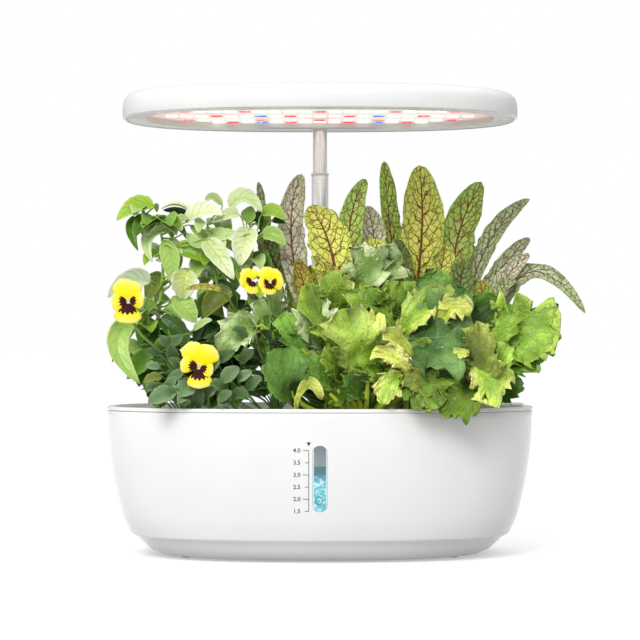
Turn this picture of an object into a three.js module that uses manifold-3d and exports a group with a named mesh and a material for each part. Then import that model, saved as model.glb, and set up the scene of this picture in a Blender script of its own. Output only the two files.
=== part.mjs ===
// A countertop hydroponic garden: a water tub, a planting deck with ten pods, and a light head
// on a telescopic post. Millimetres, +Z up, the front faces -Y, the origin is the middle of the
// tub's base pad on the table.
import * as THREE from "three";
import { mergeVertices } from "three/addons/utils/BufferGeometryUtils.js";
import Module from "manifold-3d";

const wasm = await Module();
wasm.setup();

// Driving dimensions
const GAP = 0.3; // clearance between pieces that touch
const TUB_WIDTH = 350;
const TUB_DEPTH = 200;
const TUB_HEIGHT = 122; // table to the top of the deck's flange
const DEPTH_RATIO = TUB_DEPTH / TUB_WIDTH;
const ROUNDNESS = 2.5; // exponent of the rounded plan outline, 2 would be an ellipse
const FLANGE = 3; // thickness of the deck's flange on the tub's rim
const TUB_TOP = TUB_HEIGHT - FLANGE - GAP;
const BASE_Z = 1.2; // underside of the tub, above the table by the feet
const FLOOR_Z = 4.2; // water side of the tub's floor
const DECK_FLOOR = 112;
const DECK_PLATE = 3;
const LAMP_WIDTH = 326;
const LAMP_DEPTH = 186;
const LAMP_BOTTOM = 358;
const LAMP_TOP = 379.3;
const POST = { y: 77, lower: 7.3, lowerBore: 6.6, upper: 6.15, upperBore: 5.45 };
const COLLAR_Z = 319;
const POD = { hole: 17.3, flange: 20, bottomZ: 64 };
const PODS = {
  pansy_1: [-105, -52],
  pansy_2: [-35, -52],
  lettuce_1: [35, -52],
  lettuce_2: [105, -52],
  basil_1: [-134, 4],
  basil_2: [-70, 4],
  sorrel_1: [0, 4],
  lettuce_3: [70, 4],
  basil_3: [-95, 60],
  sorrel_2: [95, 60],
};
const WINDOW = { width: 11.6, bottom: 41.7, top: 93.4 };
const FEET = { x: 106, y: 30, radius: 6, height: 2.4 };
const PUMP = { x: -35, back: 70, front: 40, width: 36, bottom: 22, top: 56 };
const LID = { left: 124, right: 168.3, front: -28, back: 22, bottom: 121, thick: 3 };
const HINGE = { y: 27, z: 121, pin: 1.2, bore: 1.5, knuckle: 2.8 };
const BUTTON = { x: 14, y: 51, radius: 4.5 };
const PLAN_SIDES = 48;
const WELD = 1e-3; // points closer than this are one point

// Solids

function solid(geometry) {
  const bare = geometry.index ? geometry.toNonIndexed() : geometry.clone();
  for (const name of ["normal", "uv"]) bare.deleteAttribute(name);
  const merged = mergeVertices(bare, WELD);
  return new wasm.Manifold(
    new wasm.Mesh({
      numProp: 3,
      vertProperties: merged.attributes.position.array,
      triVerts: new Uint32Array(merged.index.array),
    }),
  );
}

function geometryOf(made) {
  const mesh = made.getMesh();
  const geometry = new THREE.BufferGeometry();
  geometry.setAttribute("position", new THREE.BufferAttribute(mesh.vertProperties, 3));
  geometry.setIndex(new THREE.BufferAttribute(mesh.triVerts, 1));
  geometry.computeVertexNormals();
  return geometry;
}

function join(...solids) {
  return solids.reduce((all, one) => all.add(one));
}

function cut(body, ...tools) {
  return tools.reduce((left, tool) => left.subtract(tool), body);
}

// Closed solid through a stack of rings, each turning anticlockwise about the way they climb.
function loft(rings) {
  const sides = rings[0].length;
  const points = rings.flat();
  const faces = [];
  for (let row = 0; row + 1 < rings.length; row += 1) {
    for (let i = 0; i < sides; i += 1) {
      const a = row * sides + i;
      const b = row * sides + ((i + 1) % sides);
      faces.push(a, b, b + sides, a, b + sides, a + sides);
    }
  }
  const ends = [rings[0], rings[rings.length - 1]];
  ends.forEach((ring, end) => {
    const centre = ring.reduce((sum, p) => sum.add(p), new THREE.Vector3());
    points.push(centre.divideScalar(sides));
    const middle = points.length - 1;
    const start = end === 0 ? 0 : (rings.length - 1) * sides;
    for (let i = 0; i < sides; i += 1) {
      const a = start + i;
      const b = start + ((i + 1) % sides);
      faces.push(middle, end === 0 ? b : a, end === 0 ? a : b);
    }
  });
  const geometry = new THREE.BufferGeometry().setFromPoints(points);
  geometry.setIndex(faces);
  return solid(geometry);
}

// One ring of the rounded plan outline that the tub, deck and light head share.
function planRing(halfWidth, halfDepth, z) {
  const ring = [];
  for (let i = 0; i < PLAN_SIDES; i += 1) {
    const angle = (2 * Math.PI * i) / PLAN_SIDES;
    const x = Math.sign(Math.cos(angle)) * Math.abs(Math.cos(angle)) ** (2 / ROUNDNESS);
    const y = Math.sign(Math.sin(angle)) * Math.abs(Math.sin(angle)) ** (2 / ROUNDNESS);
    ring.push(new THREE.Vector3(halfWidth * x, halfDepth * y, z));
  }
  return ring;
}

function planSlab(halfWidth, halfDepth, bottom, top) {
  return loft([planRing(halfWidth, halfDepth, bottom), planRing(halfWidth, halfDepth, top)]);
}

function box(x0, x1, y0, y1, z0, z1) {
  const made = new THREE.BoxGeometry(x1 - x0, y1 - y0, z1 - z0);
  return solid(made.translate((x0 + x1) / 2, (y0 + y1) / 2, (z0 + z1) / 2));
}

function upright(x, y, radius, z0, z1, sides = 12) {
  const made = new THREE.CylinderGeometry(radius, radius, z1 - z0, sides);
  return solid(made.rotateX(Math.PI / 2).translate(x, y, (z0 + z1) / 2));
}

function alongY(x, z, radius, y0, y1, sides = 16) {
  const made = new THREE.CylinderGeometry(radius, radius, y1 - y0, sides);
  return solid(made.translate(x, (y0 + y1) / 2, z));
}

function alongX(y, z, radius, x0, x1, sides = 12) {
  const made = new THREE.CylinderGeometry(radius, radius, x1 - x0, sides);
  return solid(made.rotateZ(Math.PI / 2).translate((x0 + x1) / 2, y, z));
}

// Solid of revolution about an upright axis, from [radius, z] points that close on themselves
// or start and end on the axis, anticlockwise in that plane.
function turned(x, y, profile, sides = 16) {
  const points = profile.map(([radius, z]) => new THREE.Vector2(radius, z));
  if (profile[0][0] > 0) points.push(points[0].clone());
  const made = new THREE.LatheGeometry(points, sides);
  return solid(made.rotateX(Math.PI / 2).translate(x, y, 0));
}

// Tub

const OUTSIDE = [
  [123, BASE_Z],
  [132.5, 2.6],
  [140, 6],
  [145.5, 10.9],
  [149.6, 15],
  [152, 16.6],
  [155.6, 18.5],
  [158.4, 24],
  [162.5, 34],
  [167.5, 53],
  [171.3, 73],
  [173.8, 93],
  [175, TUB_TOP],
];
const INSIDE = [
  [118, FLOOR_Z],
  [137, 8.2],
  [149, 18],
  [158.5, 34],
  [165.7, 62],
  [170.3, 93],
  [171.6, TUB_TOP + 1],
];

function tubLoft(profile, inset = 0) {
  return loft(profile.map(([half, z]) => planRing(half - inset, half * DEPTH_RATIO - inset, z)));
}

// Upright slot with a round top, through the front wall.
function slotPrism(grow) {
  const half = WINDOW.width / 2 + grow;
  const outline = new THREE.Shape();
  outline.moveTo(-half, WINDOW.bottom - grow);
  outline.lineTo(half, WINDOW.bottom - grow);
  outline.lineTo(half, WINDOW.top - WINDOW.width / 2);
  outline.absarc(0, WINDOW.top - WINDOW.width / 2, half, 0, Math.PI, false);
  outline.closePath();
  const made = new THREE.ExtrudeGeometry(outline, { depth: 60, bevelEnabled: false, curveSegments: 6 });
  return solid(made.rotateX(Math.PI / 2).translate(0, -60, 0));
}

function corners(x, y) {
  return [
    [-x, -y],
    [x, -y],
    [x, y],
    [-x, y],
  ];
}

function tubShell() {
  const padRadius = 20;
  const pockets = corners(FEET.x, FEET.y).map(([x, y]) =>
    upright(x, y, FEET.radius + GAP, -1, FEET.height + GAP),
  );
  const shell = cut(tubLoft(OUTSIDE), tubLoft(INSIDE), slotPrism(0), ...pockets);
  return join(shell, upright(0, 0, padRadius, 0, BASE_Z + 1, 24));
}

// The window's stem fills the slot; its flange and the seal lie behind the wall.
const WINDOW_FLANGE = 3.5;
const SEAL_THICK = 1;
const FLANGE_THICK = 1.6;

function levelWindow() {
  const seat = 2 * GAP + SEAL_THICK;
  const stem = slotPrism(-GAP).intersect(cut(tubLoft(OUTSIDE), tubLoft(INSIDE, seat + FLANGE_THICK)));
  const layer = cut(tubLoft(INSIDE, seat), tubLoft(INSIDE, seat + FLANGE_THICK));
  return join(stem, slotPrism(WINDOW_FLANGE).intersect(layer));
}

function windowSeal() {
  const layer = cut(tubLoft(INSIDE, GAP), tubLoft(INSIDE, GAP + SEAL_THICK));
  return cut(slotPrism(WINDOW_FLANGE), slotPrism(0)).intersect(layer);
}

// Planting deck

const DECK = { outer: TUB_WIDTH / 2, skirt: 170.5, recess: 168.9, hollow: 168 };
const DECK_EDGE = (TUB_WIDTH - TUB_DEPTH) / 2; // half-width less half-depth, alike on every ring
const PORT = { left: 130, right: 160, front: -20, back: 18, wall: 2, top: 120.7 };
const SKIRT_BOTTOM = 104;

function deckSlab(halfWidth, bottom, top) {
  return planSlab(halfWidth, halfWidth - DECK_EDGE, bottom, top);
}

function deck() {
  const plateBottom = DECK_FLOOR - DECK_PLATE;
  const flange = deckSlab(DECK.outer, TUB_HEIGHT - FLANGE, TUB_HEIGHT);
  const skirt = deckSlab(DECK.skirt, SKIRT_BOTTOM, TUB_HEIGHT - FLANGE + 0.5);
  const tray = cut(
    join(flange, skirt),
    deckSlab(DECK.recess, DECK_FLOOR, TUB_HEIGHT + 1),
    deckSlab(DECK.hollow, SKIRT_BOTTOM - 1, plateBottom),
  );
  const { left, right, front, back, wall, top } = PORT;
  const coaming = box(left - wall, right + wall, front - wall, back + wall, DECK_FLOOR - 1, top);
  const lugs = [
    [128, 133.4],
    [158.6, 164],
  ].map(([x0, x1]) =>
    join(
      box(x0, x1, HINGE.y - HINGE.knuckle, HINGE.y + HINGE.knuckle, DECK_FLOOR - 1, HINGE.z),
      alongX(HINGE.y, HINGE.z, HINGE.knuckle, x0, x1),
    ),
  );
  const nipple = upright(PUMP.x, (PUMP.front + PUMP.back) / 2, 3.6, 100, plateBottom + 1, 12);
  const holes = Object.values(PODS).map(([x, y]) =>
    upright(x, y, POD.hole, plateBottom - 1, DECK_FLOOR + 1, 16),
  );
  return cut(
    join(tray, coaming, ...lugs, nipple),
    ...holes,
    box(left, right, front, back, plateBottom - 1, top + 1),
    alongX(HINGE.y, HINGE.z, HINGE.bore, 120, 170),
    upright(PUMP.x, (PUMP.front + PUMP.back) / 2, 2.2, 99, DECK_FLOOR + 1, 12),
    upright(0, POST.y, POST.lower + GAP, plateBottom - 1, DECK_FLOOR + 1, 20),
  );
}

function fillLid() {
  const { left, right, front, back, bottom, thick } = LID;
  const edge = deckSlab(right, bottom - 1, bottom + thick + 1);
  const plate = box(left, right + 2, front, back, bottom, bottom + thick).intersect(edge);
  const web = box(134, 158, back - 1, HINGE.y, bottom, bottom + 2);
  const knuckle = alongX(HINGE.y, HINGE.z, HINGE.knuckle, 133.8, 158.2);
  return cut(join(plate, web, knuckle), alongX(HINGE.y, HINGE.z, HINGE.bore, 120, 170));
}

// Net baskets: a tapered cup with a flange, four windows and a hole in the bottom.
function basket(x, y) {
  const top = DECK_FLOOR + GAP;
  const wall = 1.2;
  const cup = turned(
    x,
    y,
    [
      [6, POD.bottomZ],
      [12.5, POD.bottomZ],
      [POD.hole - GAP, top],
      [POD.flange, top],
      [POD.flange, top + 1.5],
      [POD.hole - GAP - wall, top + 1.5],
      [12.5 - wall, POD.bottomZ + 1.5],
      [6, POD.bottomZ + 1.5],
    ],
    8,
  );
  const windows = [
    box(x - 20, x + 20, y - 3, y + 3, 72, 102),
    box(x - 3, x + 3, y - 20, y + 20, 72, 102),
  ];
  return cut(cup, ...windows);
}

// Post

function postSocket() {
  const bottom = DECK_FLOOR + GAP;
  const top = 137;
  const boss = turned(0, POST.y, [
    [POST.lower + GAP, bottom],
    [16.2, bottom],
    [16.2, bottom + 3],
    [11.4, bottom + 6],
    [10.6, top - 1],
    [9.6, top],
    [POST.lower + GAP, top],
  ]);
  const back = 93.2;
  const block = cut(
    box(-7.4, 7.4, POST.y, back, bottom, top - 1.5),
    upright(0, POST.y, POST.lower + GAP, bottom - 1, top + 1, 20),
  );
  return cut(join(boss, block), box(-5.2, 5.2, 86.4, back + 1, 123.7, 133.6));
}

function dcInlet() {
  const middle = 128.65;
  const body = box(-4.9, 4.9, 86.7, 93.6, 124, 133.3);
  return join(
    cut(body, alongY(0, middle, 2.9, 88, 95)),
    alongY(0, middle, 0.9, 87.5, 93, 8),
  );
}

function tube(outer, bore, z0, z1) {
  return turned(0, POST.y, [
    [bore, z0],
    [outer, z0],
    [outer, z1],
    [bore, z1],
  ]);
}

const RIVET_Z = 316.5;
const LOWER_BOTTOM = 100;
const UPPER_BOTTOM = 150;
const UPPER_TOP = 374;

function lowerPost() {
  const made = tube(POST.lower, POST.lowerBore, LOWER_BOTTOM, COLLAR_Z - GAP);
  return cut(made, alongY(0, RIVET_Z, 1.1, POST.y - 9, POST.y - 5, 10));
}

function collarRivet() {
  const face = POST.y - POST.lower;
  return join(
    alongY(0, RIVET_Z, 1.7, face - 1, face - GAP, 12),
    alongY(0, RIVET_Z, 0.8, face - 0.6, face + 0.4, 8),
  );
}

function postCollar() {
  return turned(0, POST.y, [
    [POST.upper + GAP, COLLAR_Z],
    [7.7, COLLAR_Z],
    [7.9, COLLAR_Z + 1.2],
    [7.5, COLLAR_Z + 2.3],
    [POST.upper + GAP, COLLAR_Z + 2.3],
  ]);
}

// Light head

const LAMP = { half: LAMP_WIDTH / 2, edge: (LAMP_WIDTH - LAMP_DEPTH) / 2, ceiling: 376.2 };
const BEZEL = { opening: 144, wall: 2.5, lip: 3.1, thick: 3, top: 363.7 };
const MOUNT = { half: 48, front: 67, back: 84 }; // the bump round the post at the rear of the bezel
const SCREWS = [
  [-130, -49],
  [130, -49],
  [-153, 0],
  [153, 0],
  [-130, 49],
  [130, 49],
];

function lampRing(inset, z) {
  return planRing(LAMP.half - inset, LAMP.half - LAMP.edge - inset, z);
}

function lampSlab(inset, bottom, top) {
  return loft([lampRing(inset, bottom), lampRing(inset, top)]);
}

function lampTop() {
  const outside = loft([
    lampRing(1.2, LAMP_BOTTOM),
    lampRing(0.2, LAMP_BOTTOM + 1.6),
    lampRing(0, 365),
    lampRing(0.5, 370),
    lampRing(2, 374),
    lampRing(4.6, 376.6),
    lampRing(9, 378.4),
    lampRing(17, LAMP_TOP),
  ]);
  const inside = loft([
    lampRing(BEZEL.lip - GAP, LAMP_BOTTOM - 1),
    lampRing(BEZEL.lip - GAP, 371),
    lampRing(6, LAMP.ceiling),
  ]);
  const boss = cut(
    upright(0, POST.y, 9.5, 367, LAMP.ceiling + 1, 20),
    upright(0, POST.y, POST.upper + GAP, 366, UPPER_TOP + GAP, 20),
  );
  const holes = [-BUTTON.x, BUTTON.x].map((x) =>
    upright(x, BUTTON.y, BUTTON.radius + GAP, LAMP.ceiling - 1, LAMP_TOP + 1),
  );
  return cut(join(cut(outside, inside), boss), ...holes);
}

function lampBezel() {
  const { opening, wall, lip, thick, top } = BEZEL;
  const inset = LAMP.half - opening;
  const ring = lampSlab(lip, LAMP_BOTTOM, LAMP_BOTTOM + thick);
  const rim = lampSlab(inset - wall, LAMP_BOTTOM, top);
  const bump = box(-MOUNT.half, MOUNT.half, MOUNT.front, MOUNT.back, LAMP_BOTTOM, top);
  const openings = SCREWS.map(([x, y]) =>
    join(
      upright(x, y, 1.6, LAMP_BOTTOM - 1, top + 1, 6),
      upright(x, y, 3, LAMP_BOTTOM - 1, LAMP_BOTTOM + 1.6, 8),
    ),
  );
  const holder = join(cut(join(ring, rim), lampSlab(inset, LAMP_BOTTOM - 1, top + 1)), bump);
  return cut(
    holder,
    upright(0, POST.y, POST.upper + GAP, LAMP_BOTTOM - 1, top + 1, 20),
    ...openings,
  );
}

function ledBoard() {
  const bottom = BEZEL.top + GAP;
  const board = lampSlab(LAMP.half - 149, bottom, bottom + 1.6);
  return cut(board, upright(0, POST.y, POST.upper + 2, bottom - 1, bottom + 3, 20));
}

function bezelScrew(x, y) {
  return join(
    upright(x, y, 2.5, LAMP_BOTTOM + 0.2, LAMP_BOTTOM + 1.3, 8),
    upright(x, y, 1, LAMP_BOTTOM + 1, LAMP_BOTTOM + 5, 6),
  );
}

function controlBoard() {
  const board = box(-28, 28, 42, 60, 369, 370.4);
  const switches = [-BUTTON.x, BUTTON.x].map((x) =>
    box(x - 3, x + 3, BUTTON.y - 3, BUTTON.y + 3, 370, 372.6),
  );
  const pegs = [-24, 24].map((x) => upright(x, BUTTON.y, 2, 370, LAMP.ceiling - GAP, 8));
  return join(board, ...switches, ...pegs);
}

function pushButton(side) {
  const x = side * BUTTON.x;
  return turned(x, BUTTON.y, [
    [0, 373.9],
    [5.4, 373.9],
    [5.4, LAMP.ceiling - GAP],
    [BUTTON.radius, LAMP.ceiling - GAP],
    [BUTTON.radius, 380],
    [BUTTON.radius - 0.8, 380.8],
    [0, 380.8],
  ]);
}

// Pump under the deck

const CHAMBER = { radius: 11, z: 38, back: 50 };
const PUMP_MIDDLE = (PUMP.front + PUMP.back) / 2;

function pumpHousing() {
  const half = PUMP.width / 2;
  const body = box(PUMP.x - half, PUMP.x + half, PUMP.front, PUMP.back, PUMP.bottom, PUMP.top);
  const outlet = upright(PUMP.x, PUMP_MIDDLE, 3.6, PUMP.top - 1, 68, 12);
  return cut(
    join(body, outlet),
    alongY(PUMP.x, CHAMBER.z, CHAMBER.radius, PUMP.front - 1, CHAMBER.back + 6, 20),
    upright(PUMP.x, PUMP_MIDDLE, 2.2, CHAMBER.z, 70, 12),
    alongY(PUMP.x, CHAMBER.z, 1.3, PUMP.front, CHAMBER.back + 12, 8),
  );
}

function impellerShaft() {
  return alongY(PUMP.x, CHAMBER.z, 1, PUMP.front + 1, CHAMBER.back + 11.5, 8);
}

function impeller() {
  const blades = [0, 1, 2].map((turn) =>
    solid(
      new THREE.BoxGeometry(18, 6, 1.6)
        .rotateY((turn * Math.PI) / 3)
        .translate(PUMP.x, PUMP.front + 6, CHAMBER.z),
    ),
  );
  const hub = alongY(PUMP.x, CHAMBER.z, 4.2, PUMP.front + 2, CHAMBER.back + 4, 12);
  return cut(join(hub, ...blades), alongY(PUMP.x, CHAMBER.z, 1.3, PUMP.front, 80, 8));
}

function pumpCover() {
  const half = PUMP.width / 2;
  const front = 29.7;
  const plate = 37;
  const body = box(PUMP.x - half, PUMP.x + half, front, PUMP.front - GAP, PUMP.bottom, PUMP.top);
  return cut(
    body,
    box(PUMP.x - half + 2, PUMP.x + half - 2, front - 1, plate, PUMP.bottom + 2, PUMP.top - 2),
    alongY(PUMP.x, CHAMBER.z, 5, front, PUMP.front + 1),
  );
}

function pumpFilter() {
  const half = PUMP.width / 2 - 2 - GAP;
  const low = PUMP.bottom + 2 + GAP;
  return box(PUMP.x - half, PUMP.x + half, 30.7, 37 - GAP, low, PUMP.top - 2 - GAP);
}

function pumpHose() {
  return turned(
    PUMP.x,
    PUMP_MIDDLE,
    [
      [3.9, PUMP.top + GAP],
      [5, PUMP.top + GAP],
      [5, DECK_FLOOR - DECK_PLATE - GAP],
      [3.9, DECK_FLOOR - DECK_PLATE - GAP],
    ],
    12,
  );
}

// Lead from the pump to the lower end of the post, held at both ends.
function pumpLead() {
  const route = new THREE.CatmullRomCurve3([
    new THREE.Vector3(PUMP.x + PUMP.width / 2 + GAP, 60, 48),
    new THREE.Vector3(-10, 60, 48),
    new THREE.Vector3(-2, 65, 54),
    new THREE.Vector3(0, 73, 68),
    new THREE.Vector3(0, POST.y, 86),
    new THREE.Vector3(0, POST.y, 108),
  ]);
  const section = new THREE.Shape();
  section.absarc(0, 0, 2, 0, 2 * Math.PI, false);
  return solid(
    new THREE.ExtrudeGeometry(section, { steps: 12, extrudePath: route, curveSegments: 4 }),
  );
}

// Plants. A leaf runs from the crown, or from a point on a stem, to its tip. Its middle is
// drawn aside by bow, its blade is as wide as wide, and turn is how far the blade is turned
// away from facing the front.

const CROWN_Z = 114;
const VEIN = 0.9; // half the thickness of a leaf at its midrib
const CUT_MARGIN = 0.5;
const SLIVER = 0.05; // thinner slivers than this are smoothed away where leaves meet
const GRID = 0.05; // step of the points of a plant
const FACING = new THREE.Vector3(0, -0.8, 0.6); // where the upper side of a leaf looks

const BLADES = {
  basil: { steps: 4, stalk: 0.12, shape: (u) => Math.sin(Math.PI * u ** 0.8) ** 0.8, fold: 0.16 },
  pansy: { steps: 4, stalk: 0.55, shape: (u) => Math.sin(Math.PI * u ** 0.9) ** 0.7, fold: 0.1 },
  sorrel: { steps: 5, stalk: 0.3, shape: (u) => Math.sin(Math.PI * u ** 0.8) ** 0.6, fold: 0.14 },
  lettuce: { steps: 5, stalk: 0.2, shape: (u) => Math.sin(Math.PI * u ** 1.15) ** 0.55, fold: 0.12 },
};

function vector([x, y, z]) {
  return new THREE.Vector3(x, y, z);
}

// A bowed midline, as a quadratic curve whose middle lies off the straight by bow.
function midline(from, tip, bow) {
  const control = from.clone().add(tip).multiplyScalar(0.5).addScaledVector(vector(bow), 2);
  return new THREE.QuadraticBezierCurve3(from, control, tip);
}

function leaf(kind, crown, { from, tip, bow = [0, 0, 8], wide, turn = 0 }, grow) {
  const { steps, stalk, shape, fold } = BLADES[kind];
  const curve = midline(vector(from ?? crown), vector(tip), bow);
  const rings = [];
  for (let step = 0; step <= steps; step += 1) {
    const u = Math.max(0, (step - 1) / (steps - 1));
    const t = step === 0 ? 0 : stalk + (1 - stalk) * u;
    const at = curve.getPoint(t);
    const along = curve.getTangent(t);
    const up = FACING.clone().addScaledVector(along, -FACING.dot(along)).normalize();
    up.applyAxisAngle(along, THREE.MathUtils.degToRad(turn));
    const side = up.clone().cross(along);
    const half = Math.max(1.1, (wide / 2) * shape(u)) + grow;
    const lift = fold * (half - 1.1);
    const thick = VEIN + grow;
    const corner = (across, height) =>
      at.clone().addScaledVector(side, across).addScaledVector(up, height);
    const rim = (across) => [corner(across, lift - grow), corner(across, lift + grow)];
    const edges = grow > 0 ? [rim(half), rim(-half).reverse()] : [[corner(half, lift)], [corner(-half, lift)]];
    rings.push([...edges[0], corner(0, thick), ...edges[1], corner(0, -thick)]);
  }
  return loft(rings);
}

// A round stem through a few points.
function stem(points, radius, grow) {
  const curve = new THREE.CatmullRomCurve3(points.map(vector));
  const steps = 2 * (points.length - 1);
  const sides = 4;
  const rings = [];
  for (let step = 0; step <= steps; step += 1) {
    const at = curve.getPoint(step / steps);
    const along = curve.getTangent(step / steps);
    const side = new THREE.Vector3(0, 1, 0).cross(along).normalize();
    const up = along.clone().cross(side);
    const ring = [];
    for (let i = 0; i < sides; i += 1) {
      const angle = (2 * Math.PI * i) / sides;
      ring.push(
        at
          .clone()
          .addScaledVector(side, (radius + grow) * Math.cos(angle))
          .addScaledVector(up, (radius + grow) * Math.sin(angle)),
      );
    }
    rings.push(ring);
  }
  return loft(rings);
}

// A pansy flower as a shallow round cup that looks along face.
function flower({ centre, face, radius }, grow) {
  const sides = 9;
  const look = vector(face).normalize();
  const side = new THREE.Vector3(0, 0, 1).cross(look).normalize();
  const up = look.clone().cross(side);
  const rows = [
    [0.25, -3],
    [1, 0],
    [0.9, 1.6],
    [0.2, 0.4],
  ];
  return loft(
    rows.map(([share, out]) => {
      const ring = [];
      for (let i = 0; i < sides; i += 1) {
        const angle = (2 * Math.PI * i) / sides;
        const reach = share * radius + grow;
        ring.push(
          vector(centre)
            .addScaledVector(look, out + Math.sign(out) * grow)
            .addScaledVector(side, reach * Math.cos(angle))
            .addScaledVector(up, reach * Math.sin(angle)),
        );
      }
      return ring;
    }),
  );
}

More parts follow.
